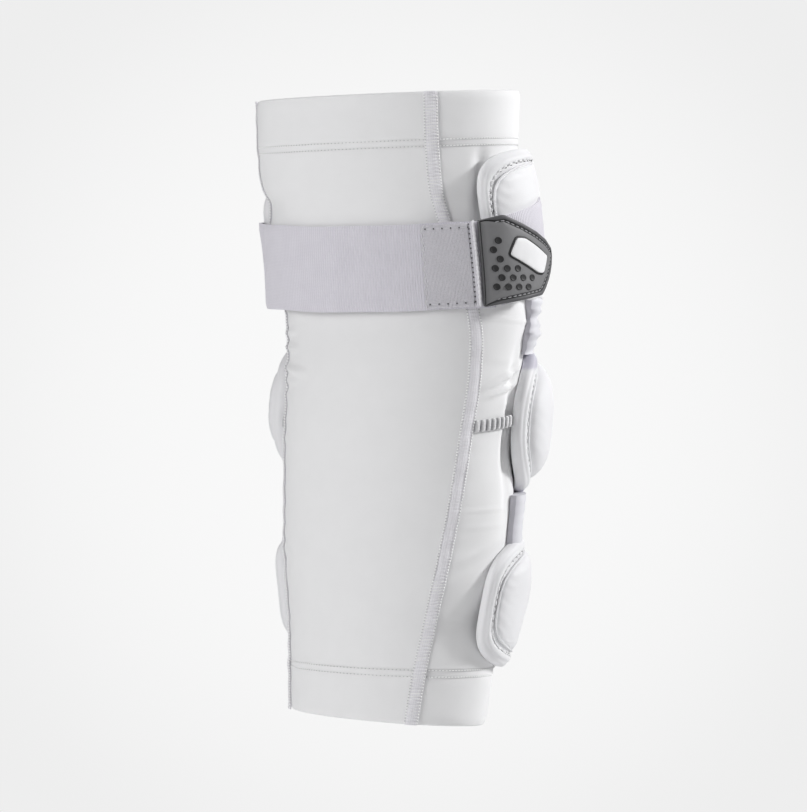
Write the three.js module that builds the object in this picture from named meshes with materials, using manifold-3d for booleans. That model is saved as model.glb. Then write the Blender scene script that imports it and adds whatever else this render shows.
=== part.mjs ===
// Lacrosse arm pad for a left arm, in the form it has when worn: a knitted sleeve of two panels with
// taped seams and turned hems, three foam pads down the outer arm, the elastic that links them, and
// a knitted strap with a loop patch and a rubber pull tab.
// Millimetres. +Z runs up the arm to the shoulder, +Y points out of the elbow, and the origin is on
// the arm's axis at the height of the elbow.
import * as THREE from "three";
import { mergeVertices } from "three/addons/utils/BufferGeometryUtils.js";
import Module from "manifold-3d";

const wasm = await Module();
wasm.setup();

// Driving dimensions. Lengths are millimetres, angles degrees. An angle round the arm is 0 on +X and
// 90 on +Y, and offsets are measured outwards from the outer face of the sleeve's cloth.

// Sleeve
const SLEEVE_LENGTH = 322;
const LENGTH_BELOW_ELBOW = 152;
const ELBOW_WIDTH = 135;
const ELBOW_DEPTH = 88;
const BOW = 10.5;
const BOW_TOWARDS = 50;
const CLOTH = 1.4;
const HEM_CLOTH = 2.2;
const UPPER_HEM_HEIGHT = 28.7;
const LOWER_HEM_HEIGHT = 28.4;
const UPPER_RIM_SLANT = 0.031;
const LOWER_RIM_SLANT = -0.052;
const SLANT_TOWARDS = 38;
const TAPE_WIDTH = 6.5;
const TAPE_CLOTH = 0.7;

// Clearance between faces that touch, and beside a pad's edge
const GAP = 0.3;
const SIDE_GAP = 0.5;

// Pads
const UPPER_PAD_HEIGHT = 79;
const ELBOW_PAD_HEIGHT = 86;
const LOWER_PAD_HEIGHT = 69.2;
const UPPER_PAD_FOAM = 7;
const ELBOW_PAD_FOAM = 8;
const LOWER_PAD_FOAM = 8;
const UPPER_DOME_RISE = 3.4;
const ELBOW_DOME_RISE = 16.6;
const LOWER_DOME_RISE = 9.4;
const FLANGE_WIDTH = 6.2;
const FLANGE_ROUND = 3.5;

// Elastic links and anchors
const LINK_FOAM = 6.6;
const LINK_EDGE = 0.72;
const LINK_REACH = 0.84;
const LINK_NEAR_ANGLE = 12;
const LINK_FAR_ANGLE = 172;
const ANCHOR_UNDER_PAD = 4;
const ANCHOR_HEIGHT = 6.2;
const ANCHOR_CLOTH = 1.1;
const ANCHOR_RIB = 0.6;
const ANCHOR_RIBS = 9;

// Strap, patch and pull tab. The strap starts and ends at angles from the upper pad's near edge.
const STRAP_WIDTH = 44;
const STRAP_CLOTH = 1.8;
const STRAP_START = 4;
const STRAP_END = 361;
const STRAP_UNDER_TAB = 7;
const STRAP_ROOM_PAST = 8;
const STRAP_PRESS = 2.6;
const STRAP_CLIMB = 6;
const PATCH_CLOTH = 1;
const PATCH_MARGIN = 0.8;
const PATCH_ANGLE = 23;
const TAB_HEIGHT = 47;
const TAB_ANGLE = 52;
const TAB_RAISE = 1.5;
const TAB_CLEARANCE = 0.4;
const TAB_RUBBER = 2.6;
const TAB_RIM = 2.4;
const TAB_GROOVE = 0.7;
const BADGE_HEIGHT = 18;
const BADGE_ANGLE = 25;
const BADGE_RUBBER = 0.9;

// The sleeve from wrist to shoulder. at is a share of SLEEVE_LENGTH from the lower rim, width and
// depth are shares of the elbow's, bow is a share of BOW, and near and far are the angles of the two
// seams.
const SECTIONS = [
  { at: 0.0, width: 0.84, depth: 0.84, bow: 0.0, near: -49, far: 210 },
  { at: 0.08, width: 0.878, depth: 0.878, bow: 0.19, near: -47, far: 209.5 },
  { at: 0.16, width: 0.913, depth: 0.913, bow: 0.31, near: -43, far: 209 },
  { at: 0.25, width: 0.961, depth: 0.961, bow: 0.4, near: -38.3, far: 209 },
  { at: 0.35, width: 0.992, depth: 0.992, bow: 0.54, near: -33.8, far: 209.5 },
  { at: 0.46, width: 1.0, depth: 1.0, bow: 0.61, near: -28.7, far: 210 },
  { at: 0.56, width: 1.009, depth: 1.009, bow: 0.83, near: -26.4, far: 210 },
  { at: 0.65, width: 1.053, depth: 1.053, bow: 1.0, near: -30.6, far: 208.5 },
  { at: 0.83, width: 1.113, depth: 1.113, bow: 0.27, near: -42.6, far: 202 },
  { at: 0.91, width: 1.122, depth: 1.122, bow: 0.0, near: -43.0, far: 200 },
  { at: 1.0, width: 1.139, depth: 1.139, bow: 0.0, near: -44.2, far: 200 },
];

// The three pads. at is a share of SLEEVE_LENGTH; near and far are the angles of the side edges;
// lean is how far the far end is raised and the near end lowered, as a share of the pad's height;
// skew turns the top edge round the arm and the bottom edge back; corner and domeCorner square the
// outlines, 2 being an ellipse; topRise and bottomRise are shares of rise at the dome's two ends.
const UPPER_PAD = {
  at: 0.775,
  height: UPPER_PAD_HEIGHT,
  near: -22,
  far: 193,
  lean: -0.078,
  skew: -3,
  corner: 4.5,
  domeCorner: 4,
  foam: UPPER_PAD_FOAM,
  rise: UPPER_DOME_RISE,
  topRise: 1,
  bottomRise: 1,
};
const ELBOW_PAD = {
  at: 0.4857,
  height: ELBOW_PAD_HEIGHT,
  near: 7.5,
  far: 200,
  lean: 0.05,
  skew: 0,
  corner: 2.8,
  domeCorner: 2.7,
  foam: ELBOW_PAD_FOAM,
  rise: ELBOW_DOME_RISE,
  topRise: 1,
  bottomRise: 1,
};
const LOWER_PAD = {
  at: 0.1935,
  height: LOWER_PAD_HEIGHT,
  near: -11.5,
  far: 195,
  lean: 0.022,
  skew: 4,
  corner: 4,
  domeCorner: 3.4,
  foam: LOWER_PAD_FOAM,
  rise: LOWER_DOME_RISE,
  topRise: 1,
  bottomRise: 0.45,
};

// Height of the strap's middle line round the arm, from its start under the tab to its end. turn is
// a share of the way from the pad's near edge round to it again, at a share of SLEEVE_LENGTH.
const STRAP_LINE = [
  { turn: 0.0, at: 0.73 },
  { turn: 0.13, at: 0.764 },
  { turn: 0.3, at: 0.776 },
  { turn: 0.45, at: 0.752 },
  { turn: 0.56, at: 0.731 },
  { turn: 0.66, at: 0.726 },
  { turn: 0.81, at: 0.721 },
  { turn: 0.92, at: 0.725 },
  { turn: 1.0, at: 0.73 },
];

// Corners of the rubber tab: along is a share of TAB_ANGLE and up a share of TAB_HEIGHT, from the
// lower corner on the patch's side.
const TAB_CORNERS = [
  { along: 0.0, up: 0.0 },
  { along: 0.62, up: 0.13 },
  { along: 0.68, up: 0.19 },
  { along: 1.0, up: 0.56 },
  { along: 0.97, up: 0.64 },
  { along: 0.24, up: 1.0 },
  { along: 0.015, up: 0.935 },
];

// Corners of the plain raised badge on the tab, as shares of BADGE_ANGLE and BADGE_HEIGHT.
const BADGE_CORNERS = [
  { along: 0.0, up: 0.52 },
  { along: 0.62, up: 0.02 },
  { along: 0.8, up: 0.0 },
  { along: 1.0, up: 0.48 },
  { along: 0.36, up: 0.98 },
  { along: 0.18, up: 1.0 },
];

// Fineness of the faceted surfaces
const FRONT_COLUMNS = 12;
const BACK_COLUMNS = 22;
const BODY_ROWS = 12;
const HEM_ROWS = 1;
const PAD_SPOKES = 32;
const STRAP_COLUMNS = 44;
const LINK_COLUMNS = 12;
const LINK_ROWS = 6;
// How far a blank runs past the surface that trims it
const SPARE = 2;
const DEPTH_OF_BLANK = 9;

const radians = THREE.MathUtils.degToRad;
const lerp = THREE.MathUtils.lerp;
const smooth = THREE.MathUtils.smoothstep;

// The value of a table's column at a place, on a smooth curve through its rows.
function follow(table, key, place, column) {
  const last = table.length - 1;
  const x = THREE.MathUtils.clamp(place, table[0][key], table[last][key]);
  let i = 0;
  while (i < last - 1 && x > table[i + 1][key]) i += 1;
  const slope = (k) => {
    const before = table[Math.max(k - 1, 0)];
    const after = table[Math.min(k + 1, last)];
    return (after[column] - before[column]) / (after[key] - before[key]);
  };
  const span = table[i + 1][key] - table[i][key];
  const u = (x - table[i][key]) / span;
  const rise = table[i + 1][column] - table[i][column];
  const startBend = slope(i) * span - rise;
  const endBend = rise - slope(i + 1) * span;
  const bend = u * (1 - u) * ((1 - u) * startBend + u * endBend);
  return table[i][column] + u * rise + bend;
}

function evenShares(count) {
  return Array.from({ length: count + 1 }, (_, i) => i / count);
}

// A point at a share of the length and an angle round the arm, offset outwards from the cloth.
function skin(at, angle, offset) {
  const halfWidth = (ELBOW_WIDTH / 2) * follow(SECTIONS, "at", at, "width");
  const halfDepth = (ELBOW_DEPTH / 2) * follow(SECTIONS, "at", at, "depth");
  const bow = BOW * follow(SECTIONS, "at", at, "bow");
  const t = radians(angle);
  const out = new THREE.Vector2(Math.cos(t) / halfWidth, Math.sin(t) / halfDepth).normalize();
  const x = halfWidth * Math.cos(t) + out.x * offset;
  const y = halfDepth * Math.sin(t) + out.y * offset;
  const slantWay = radians(SLANT_TOWARDS);
  const upper = UPPER_RIM_SLANT * smooth(at, 0.8, 0.92);
  const lower = LOWER_RIM_SLANT * (1 - smooth(at, 0, 0.12));
  const slant = (upper + lower) * (x * Math.cos(slantWay) + y * Math.sin(slantWay));
  const bowWay = radians(BOW_TOWARDS);
  const z = at * SLEEVE_LENGTH - LENGTH_BELOW_ELBOW + slant;
  return new THREE.Vector3(x + bow * Math.cos(bowWay), y + bow * Math.sin(bowWay), z);
}

function axisPoint(at) {
  return skin(at, 0, 0).lerp(skin(at, 180, 0), 0.5);
}

// Millimetres round the arm for each degree, near a place on the sleeve.
function degreeLength(at, angle, offset) {
  return skin(at, angle - 0.5, offset).distanceTo(skin(at, angle + 0.5, offset));
}

function meshFrom(points, triangles) {
  const geometry = new THREE.BufferGeometry();
  const numbers = points.flatMap((p) => [p.x, p.y, p.z]);
  geometry.setAttribute("position", new THREE.Float32BufferAttribute(numbers, 3));
  geometry.setIndex(triangles);
  return mergeVertices(geometry, 1e-4);
}

// Corners a to d in turn, seen from outside, as two triangles.
function quad(triangles, a, b, c, d) {
  triangles.push(a, b, c, a, c, d);
}

// A wall between two grids of points, both given as point(row, column). A ring closes round the arm.
function wall(rows, columns, inner, outer, ring) {
  const points = [];
  const across = ring ? columns : columns + 1;
  for (const grid of [inner, outer]) {
    for (let i = 0; i <= rows; i += 1) {
      for (let j = 0; j < across; j += 1) points.push(grid(i, j));
    }
  }
  const inside = (i, j) => i * across + (j % across);
  const outside = (i, j) => (rows + 1) * across + inside(i, j);
  const faces = [];
  for (let i = 0; i < rows; i += 1) {
    for (let j = 0; j < columns; j += 1) {
      quad(faces, outside(i, j), outside(i, j + 1), outside(i + 1, j + 1), outside(i + 1, j));
      quad(faces, inside(i, j), inside(i + 1, j), inside(i + 1, j + 1), inside(i, j + 1));
    }
    if (!ring) {
      quad(faces, inside(i, 0), outside(i, 0), outside(i + 1, 0), inside(i + 1, 0));
      const end = columns;
      quad(faces, outside(i, end), inside(i, end), inside(i + 1, end), outside(i + 1, end));
    }
  }
  for (let j = 0; j < columns; j += 1) {
    quad(faces, inside(0, j), inside(0, j + 1), outside(0, j + 1), outside(0, j));
    const top = rows;
    quad(faces, outside(top, j), outside(top, j + 1), inside(top, j + 1), inside(top, j));
  }
  return meshFrom(points, faces);
}

// A closed body of rings, from the lowest round the outline up to the middle of its outer face.
function lid(rings, foot, crown) {
  const count = rings[0].length;
  const points = [...rings.flat(), foot, crown];
  const footIndex = rings.length * count;
  const faces = [];
  for (let j = 0; j < count; j += 1) {
    const next = (j + 1) % count;
    faces.push(footIndex, next, j);
    for (let k = 0; k < rings.length - 1; k += 1) {
      const low = k * count;
      quad(faces, low + j, low + next, low + count + next, low + count + j);
    }
    const last = (rings.length - 1) * count;
    faces.push(last + j, last + next, footIndex + 1);
  }
  return meshFrom(points, faces);
}

function solid(geometry) {
  const mesh = new wasm.Mesh({
    numProp: 3,
    vertProperties: geometry.attributes.position.array,
    triVerts: new Uint32Array(geometry.index.array),
  });
  return new wasm.Manifold(mesh);
}

function geometryOf(manifold) {
  const mesh = manifold.getMesh();
  const geometry = new THREE.BufferGeometry();
  geometry.setAttribute("position", new THREE.BufferAttribute(mesh.vertProperties, 3));
  geometry.setIndex(new THREE.BufferAttribute(mesh.triVerts, 1));
  return geometry;
}

// The sleeve's own grid, which every piece that lies on it is trimmed to. Its columns run from the
// far seam over the front panel to the near seam, and on over the back panel.
function columnAngle(at, column) {
  const near = follow(SECTIONS, "at", at, "near");
  const far = follow(SECTIONS, "at", at, "far");
  if (column <= FRONT_COLUMNS) return lerp(far - 360, near, column / FRONT_COLUMNS);
  return lerp(near, far, (column - FRONT_COLUMNS) / BACK_COLUMNS);
}

const lowerHemTop = LOWER_HEM_HEIGHT / SLEEVE_LENGTH;
const upperHemFoot = 1 - UPPER_HEM_HEIGHT / SLEEVE_LENGTH;
const sliver = GAP / SLEEVE_LENGTH;
const lowerHemRows = evenShares(HEM_ROWS).map((u) => u * lowerHemTop);
const bodyRows = evenShares(BODY_ROWS).map((u) =>
  lerp(lowerHemTop + sliver, upperHemFoot - sliver, u),
);
const upperHemRows = evenShares(HEM_ROWS).map((u) => lerp(upperHemFoot, 1, u));

// The whole arm out to an offset from the cloth, as one solid with no hollow.
function armOut(offset) {
  const rows = [...lowerHemRows, ...bodyRows, ...upperHemRows];
  const columns = FRONT_COLUMNS + BACK_COLUMNS;
  const rings = rows.map((at) =>
    Array.from({ length: columns }, (_, j) => skin(at, columnAngle(at, j), offset)),
  );
  return solid(lid(rings, axisPoint(0), axisPoint(1)));
}

function panel(from, columns) {
  // The cut edges stand half a gap back from the seam line.
  const point = (offset) => (i, j) => {
    const at = bodyRows[i];
    const angle = columnAngle(at, from + j);
    const half = GAP / 2 / degreeLength(at, angle, 0);
    const back = j === 0 ? half : j === columns ? -half : 0;
    return skin(at, angle + back, offset);
  };
  return wall(BODY_ROWS, columns, point(-CLOTH), point(0), false);
}

function hem(rows) {
  const columns = FRONT_COLUMNS + BACK_COLUMNS;
  const point = (offset) => (i, j) => skin(rows[i], columnAngle(rows[i], j), offset);
  return wall(HEM_ROWS, columns, point(-HEM_CLOTH), point(0), true);
}

// The tape over a seam, from rim to rim.
function seamTape(column) {
  const rows = [...lowerHemRows, ...bodyRows, ...upperHemRows];
  const point = (offset) => (i, j) => {
    const at = rows[i];
    const angle = columnAngle(at, column);
    const step = TAPE_WIDTH / 2 / degreeLength(at, angle, GAP);
    return skin(at, angle + (j - 1) * step, offset);
  };
  return wall(rows.length - 1, 2, point(GAP), point(GAP + TAPE_CLOTH), false);
}

// Evenly spaced points of a squared ellipse of half sizes 1 and 1, for a pad of these proportions.
function padOutline(corner, halfArc, halfHeight) {
  const fine = evenShares(720).map((u) => {
    const turn = u * 2 * Math.PI;
    const c = Math.cos(turn);
    const s = Math.sin(turn);
    const x = Math.sign(c) * Math.abs(c) ** (2 / corner);
    const y = Math.sign(s) * Math.abs(s) ** (2 / corner);
    return new THREE.Vector2(x * halfArc, y * halfHeight);
  });
  const walked = [0];
  fine.slice(1).forEach((p, i) => walked.push(walked[i] + p.distanceTo(fine[i])));
  const around = walked[walked.length - 1];
  let k = 0;
  return Array.from({ length: PAD_SPOKES }, (_, j) => {
    const goal = (j / PAD_SPOKES) * around;
    while (walked[k + 1] < goal) k += 1;
    const u = (goal - walked[k]) / (walked[k + 1] - walked[k]);
    const p = fine[k].clone().lerp(fine[k + 1], u);
    return new THREE.Vector2(p.x / halfArc, p.y / halfHeight);
  });
}

// A pad's place on the sleeve: x and y run from -1 to 1 over its width and height.
function padPlace(pad, x, y) {
  const angle = (pad.near + pad.far) / 2 + (x * (pad.far - pad.near)) / 2 + pad.skew * y;
  const up = (y / 2 + pad.lean * x) * pad.height;
  return { at: pad.at + up / SLEEVE_LENGTH, angle };
}

// The ring of a pad at an inset from its outline, and shrunk towards its middle after that.
function padRing(pad, corner, inset, shrink, offset) {
  const middle = degreeLength(pad.at, 45, 0);
  const halfArc = ((pad.far - pad.near) / 2) * middle;
  const halfHeight = pad.height / 2;
  return padOutline(corner, halfArc, halfHeight).map((p) => {
    const x = p.x * (1 - inset / halfArc) * shrink;
    const y = p.y * (1 - inset / halfHeight) * shrink;
    const place = padPlace(pad, x, y);
    const lift = typeof offset === "function" ? offset(place, y) : offset;
    return skin(place.at, place.angle, lift);
  });
}

// Shrinking rings that carry a blank's top over the curved arm, trimmed away with it.
const CAPPING_RINGS = [0.84, 0.68, 0.52, 0.36, 0.18];
// Rings of a dome as shares of its foot, and how squarely it rounds over.
const DOME_RINGS = [1, 0.95, 0.86, 0.7, 0.5, 0.28];
const DOME_SQUARENESS = 3.2;

// A block of a pad's outline, grown all round, that reaches from inside the arm to an offset.
function padBlock(pad, grow, reach) {
  const rings = [
    padRing(pad, pad.corner, -grow, 1, -DEPTH_OF_BLANK),
    padRing(pad, pad.corner, -grow, 1, pad.foam - FLANGE_ROUND),
    padRing(pad, pad.corner, -grow, 1, reach),
    ...CAPPING_RINGS.map((shrink) => padRing(pad, pad.corner, -grow, shrink, reach)),
  ];
  return solid(lid(rings, axisPoint(pad.at), skin(pad.at, padPlace(pad, 0, 0).angle, reach)));
}

// The foam base: a flat slab over the sleeve with its upper edge rounded over.
function padBase(pad) {
  const over = pad.foam + SPARE;
  const round = FLANGE_ROUND;
  const bevel = round * (1 - Math.SQRT1_2);
  const rings = [
    padRing(pad, pad.corner, 0, 1, -DEPTH_OF_BLANK),
    padRing(pad, pad.corner, 0, 1, pad.foam - round),
    padRing(pad, pad.corner, bevel, 1, pad.foam - bevel),
    padRing(pad, pad.corner, round, 1, pad.foam),
    padRing(pad, pad.corner, round + SPARE, 1, over),
    ...CAPPING_RINGS.map((shrink) => padRing(pad, pad.corner, round + SPARE, shrink, over)),
  ];
  const crown = skin(pad.at, padPlace(pad, 0, 0).angle, over);
  const blank = solid(lid(rings, axisPoint(pad.at), crown));
  return blank.intersect(armOut(pad.foam)).subtract(armOut(GAP));
}

// The domed cover that is sewn round its foot on top of the base.
function padDome(pad, keepClear) {
  const foot = pad.foam + GAP;
  const lift = (share) => (place, y) => {
    const rise = pad.rise * lerp(pad.bottomRise, pad.topRise, (y + 1) / 2);
    return foot + rise * Math.sqrt(1 - share ** DOME_SQUARENESS);
  };
  const rings = [
    padRing(pad, pad.domeCorner, FLANGE_WIDTH, 1, -DEPTH_OF_BLANK),
    ...DOME_RINGS.map((share) => padRing(pad, pad.domeCorner, FLANGE_WIDTH, share, lift(share))),
  ];
  const crown = skin(pad.at, padPlace(pad, 0, 0).angle, lift(0)(null, 0));
  const blank = solid(lid(rings, axisPoint(pad.at), crown));
  return keepClear.reduce((dome, tool) => dome.subtract(tool), blank.subtract(armOut(foot)));
}

// The height of a pad's leaning end at an angle: a share of its half height up or down.
function padEnd(pad, angle, share) {
  const x = (2 * angle - pad.near - pad.far) / (pad.far - pad.near);
  return pad.at + ((share / 2 + pad.lean * x) * pad.height) / SLEEVE_LENGTH;
}

// A padded elastic link, rounded over at its side edges, that reaches a little under the ends of two
// pads. Its creases are waves across it, each a share of the foam deep.
function link(above, below, creases, depth) {
  const angle = (j) => lerp(LINK_NEAR_ANGLE, LINK_FAR_ANGLE, j / LINK_COLUMNS);
  const place = (i, j) => {
    const low = padEnd(below, angle(j), LINK_REACH);
    const high = padEnd(above, angle(j), -LINK_REACH);
    return lerp(low, high, i / LINK_ROWS);
  };
  const outer = (i, j) => {
    const edge = j === 0 || j === LINK_COLUMNS ? LINK_EDGE : 1;
    const crease = 1 - depth * Math.sin((Math.PI * creases * i) / LINK_ROWS) ** 2;
    return skin(place(i, j), angle(j), LINK_FOAM * edge * crease);
  };
  const inner = (i, j) => skin(place(i, j), angle(j), -CLOTH);
  const reach = LINK_FOAM + DEPTH_OF_BLANK;
  return solid(wall(LINK_ROWS, LINK_COLUMNS, inner, outer, false))
    .subtract(armOut(GAP))
    .subtract(padBlock(above, SIDE_GAP, reach))
    .subtract(padBlock(below, SIDE_GAP, reach));
}

// A ribbed elastic from a seam tape to the side edge of the elbow pad.
function anchor(from, to) {
  const at = ELBOW_PAD.at - (ELBOW_PAD.lean * ELBOW_PAD.height) / SLEEVE_LENGTH;
  const bars = ANCHOR_RIBS * 4;
  const height = ANCHOR_HEIGHT / SLEEVE_LENGTH;
  const rows = [at - height / 2, at + height / 2];
  const point = (offset) => (i, j) => skin(rows[i], lerp(from, to, j / bars), offset(j));
  const outer = (j) => GAP + ANCHOR_CLOTH + (j % 4 === 1 || j % 4 === 2 ? ANCHOR_RIB : 0);
  return solid(wall(1, bars, point(() => -CLOTH), point(outer), false))
    .subtract(armOut(GAP))
    .subtract(padBlock(ELBOW_PAD, SIDE_GAP, ELBOW_PAD_FOAM + SPARE));
}

// The strap's lie: flat on the sleeve in front, up the upper pad's side and over its pressed dome.
const strapStart = UPPER_PAD.near + STRAP_START;
const strapEnd = UPPER_PAD.near + STRAP_END;
const onSleeve = GAP + TAPE_CLOTH + GAP;
const onFoam = UPPER_PAD_FOAM + GAP;
const onDome = UPPER_PAD_FOAM + GAP + UPPER_DOME_RISE - STRAP_PRESS + GAP;
const STRAP_SEAT = [
  { angle: UPPER_PAD.near - 10, seat: onFoam, hang: 0 },
  { angle: UPPER_PAD.near, seat: onFoam, hang: 0 },
  { angle: UPPER_PAD.near + STRAP_CLIMB, seat: onDome, hang: 0 },
  { angle: UPPER_PAD.far - STRAP_CLIMB, seat: onDome, hang: 0 },
  { angle: UPPER_PAD.far, seat: onFoam, hang: 0 },
  { angle: UPPER_PAD.far + 18, seat: onSleeve, hang: 0.9 },
  { angle: UPPER_PAD.near + 332, seat: onSleeve, hang: 0.5 },
  { angle: UPPER_PAD.near + 357, seat: onFoam, hang: 0 },
  { angle: UPPER_PAD.near + 361, seat: onFoam, hang: 0 },
];

function strapLie(angle, column) {
  const row = Math.max(1, STRAP_SEAT.findIndex((r) => r.angle >= angle));
  const a = STRAP_SEAT[row - 1];
  const b = STRAP_SEAT[row];
  return lerp(a[column], b[column], (angle - a.angle) / (b.angle - a.angle));
}

// A point over the strap's line, up from it and out from its seat. Where the band hangs, all of its
// width stands as far out as its upper edge, clear of the narrower sleeve below.
function strapPoint(angle, up, offset) {
  const at = strapAt(angle) + up / SLEEVE_LENGTH;
  const edge = strapAt(angle) + STRAP_WIDTH / 2 / SLEEVE_LENGTH;
  const seat = strapLie(angle, "seat") + offset;
  const point = skin(lerp(at, edge, strapLie(angle, "hang")), angle, seat);
  point.z = skin(at, angle, seat).z;
  return point;
}

function strapAt(angle) {
  return follow(STRAP_LINE, "turn", (angle - UPPER_PAD.near) / 360, "at");
}

// A band that follows the strap's line between two angles, over it by a height.
function strapBand(from, to, columns, width, low, high) {
  const rows = 2;
  const point = (offset) => (i, j) => {
    const angle = lerp(from, to, j / columns);
    const up = (i / rows - 0.5) * width;
    return strapPoint(angle, up, offset);
  };
  return wall(rows, columns, point(low), point(high), false);
}

const patchEnd = strapEnd - STRAP_UNDER_TAB;
const patchStart = patchEnd - PATCH_ANGLE;
const patchFoot = STRAP_CLOTH + GAP;
const patchColumns = 6;
const patchWidth = STRAP_WIDTH - 2 * PATCH_MARGIN;

// A flat rubber piece of a cornered outline over the strap, each side cut into equal stretches.
const tabAngle = patchEnd - 360 + TAB_CLEARANCE;
const tabAt = strapAt(tabAngle) + TAB_RAISE / SLEEVE_LENGTH;
const tabFoot = STRAP_CLOTH + GAP;
const tabSideCuts = 3;

function tabPlace(along, up) {
  return {
    angle: tabAngle + along * TAB_ANGLE,
    at: tabAt + ((up - 0.5) * TAB_HEIGHT) / SLEEVE_LENGTH,
  };
}

function cornered(corners, place, centre, sizes, profile) {
  const outline = corners.flatMap((corner, k) => {
    const next = corners[(k + 1) % corners.length];
    return evenShares(tabSideCuts)
      .slice(0, -1)
      .map((u) => ({ x: lerp(corner.along, next.along, u), y: lerp(corner.up, next.up, u) }));
  });
  const spot = (x, y, offset) => {
    const { angle, at } = place(x, y);
    return strapPoint(angle, (at - strapAt(angle)) * SLEEVE_LENGTH, offset);
  };
  const rings = profile.map(({ inset, shrink, offset }) =>
    outline.map(({ x, y }) => {
      const dx = (x - centre.x) * shrink * (1 - (2 * inset) / sizes.x);
      const dy = (y - centre.y) * shrink * (1 - (2 * inset) / sizes.y);
      return spot(centre.x + dx, centre.y + dy, offset);
    }),
  );
  const foot = profile[0].offset;
  const crown = profile[profile.length - 1].offset;
  return lid(rings, spot(centre.x, centre.y, foot), spot(centre.x, centre.y, crown));
}

const tabMillimetres = TAB_ANGLE * degreeLength(tabAt, 0, tabFoot + onFoam);
const tabSizes = { x: tabMillimetres, y: TAB_HEIGHT };
const tabCentre = { x: 0.42, y: 0.52 };

function pullTab() {
  const top = tabFoot + TAB_RUBBER;
  const groove = top - TAB_GROOVE;
  const face = top - TAB_GROOVE / 2;
  const profile = [
    { inset: 0, shrink: 0.5, offset: tabFoot },
    { inset: 0, shrink: 1, offset: tabFoot },
    { inset: 0, shrink: 1, offset: top },
    { inset: TAB_RIM, shrink: 1, offset: top },
    { inset: TAB_RIM, shrink: 0.985, offset: groove },
    { inset: TAB_RIM, shrink: 0.93, offset: groove },
    { inset: TAB_RIM, shrink: 0.915, offset: face },
    { inset: TAB_RIM, shrink: 0.45, offset: face },
  ];
  return cornered(TAB_CORNERS, tabPlace, tabCentre, tabSizes, profile);
}

// The badge sits over the middle of the tab's face.
function badge() {
  const foot = tabFoot + TAB_RUBBER - TAB_GROOVE / 2 + GAP;
  const place = (along, up) => ({
    angle: tabAngle + 0.5 * TAB_ANGLE + (along - 0.5) * BADGE_ANGLE,
    at: tabAt + (0.06 * TAB_HEIGHT + (up - 0.5) * BADGE_HEIGHT) / SLEEVE_LENGTH,
  });
  const millimetres = BADGE_ANGLE * degreeLength(tabAt, 0, foot + onFoam);
  const profile = [
    { inset: 0, shrink: 0.5, offset: foot },
    { inset: 0, shrink: 1, offset: foot },
    { inset: 0, shrink: 1, offset: foot + BADGE_RUBBER / 2 },
    { inset: BADGE_RUBBER, shrink: 1, offset: foot + BADGE_RUBBER },
    { inset: BADGE_RUBBER, shrink: 0.5, offset: foot + BADGE_RUBBER },
  ];
  const sizes = { x: millimetres, y: BADGE_HEIGHT };
  return cornered(BADGE_CORNERS, place, { x: 0.5, y: 0.5 }, sizes, profile);
}

// The finishes of the cloth, foam covers and rubber
const FINISH = {
  knit: { color: 0xe9e9eb, roughness: 0.85, metalness: 0 },
  tape: { color: 0xdfdee3, roughness: 0.9, metalness: 0 },
  elastic: { color: 0xcdcad2, roughness: 0.95, metalness: 0 },
  cover: { color: 0xe6e6e8, roughness: 0.55, metalness: 0 },
  loop: { color: 0xbebbc2, roughness: 1, metalness: 0 },
  rubber: { color: 0x4c4d50, roughness: 0.5, metalness: 0 },
  badge: { color: 0xdcdcdd, roughness: 0.45, metalness: 0 },
};

const armPad = new THREE.Group();

function add(name, geometry, finish) {
  const material = new THREE.MeshStandardMaterial(FINISH[finish]);
  const mesh = new THREE.Mesh(geometry, material);
  mesh.name = name;
  armPad.add(mesh);
}

// Sleeve
add("sleeve_front_panel", panel(0, FRONT_COLUMNS), "knit");
add("sleeve_back_panel", panel(FRONT_COLUMNS, BACK_COLUMNS), "knit");
add("upper_hem", hem(upperHemRows), "knit");
add("lower_hem", hem(lowerHemRows), "knit");
add("near_seam_tape", seamTape(FRONT_COLUMNS), "tape");
add("far_seam_tape", seamTape(0), "tape");

// Pads, with room in the upper dome for the strap that presses on it
const roomColumns = 30;
const roomWidth = STRAP_WIDTH + 2 * GAP;
const roomEnd = UPPER_PAD.far + STRAP_ROOM_PAST;
const strapRoom = solid(
  strapBand(strapStart, roomEnd, roomColumns, roomWidth, -GAP, DEPTH_OF_BLANK),
);
add("upper_pad_base", geometryOf(padBase(UPPER_PAD)), "cover");
add("upper_pad_dome", geometryOf(padDome(UPPER_PAD, [strapRoom])), "cover");
add("elbow_pad_base", geometryOf(padBase(ELBOW_PAD)), "cover");
add("elbow_pad_dome", geometryOf(padDome(ELBOW_PAD, [])), "cover");
add("lower_pad_base", geometryOf(padBase(LOWER_PAD)), "cover");
add("lower_pad_dome", geometryOf(padDome(LOWER_PAD, [])), "cover");

// Elastic between the pads, and from the seams to the elbow pad
const tapeEdge = (seam) => {
  const angle = follow(SECTIONS, "at", ELBOW_PAD.at, seam);
  return (TAPE_WIDTH / 2 + GAP) / degreeLength(ELBOW_PAD.at, angle, GAP);
};
const nearSeam = follow(SECTIONS, "at", ELBOW_PAD.at, "near");
const farSeam = follow(SECTIONS, "at", ELBOW_PAD.at, "far");
add("upper_link", geometryOf(link(UPPER_PAD, ELBOW_PAD, 2, 0.2)), "elastic");
add("lower_link", geometryOf(link(ELBOW_PAD, LOWER_PAD, 1, 0.08)), "elastic");
const nearFoot = ELBOW_PAD.near + ANCHOR_UNDER_PAD;
const farFoot = ELBOW_PAD.far - ANCHOR_UNDER_PAD;
add("near_elbow_anchor", geometryOf(anchor(nearSeam + tapeEdge("near"), nearFoot)), "elastic");
add("far_elbow_anchor", geometryOf(anchor(farFoot, farSeam - tapeEdge("far"))), "elastic");

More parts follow.
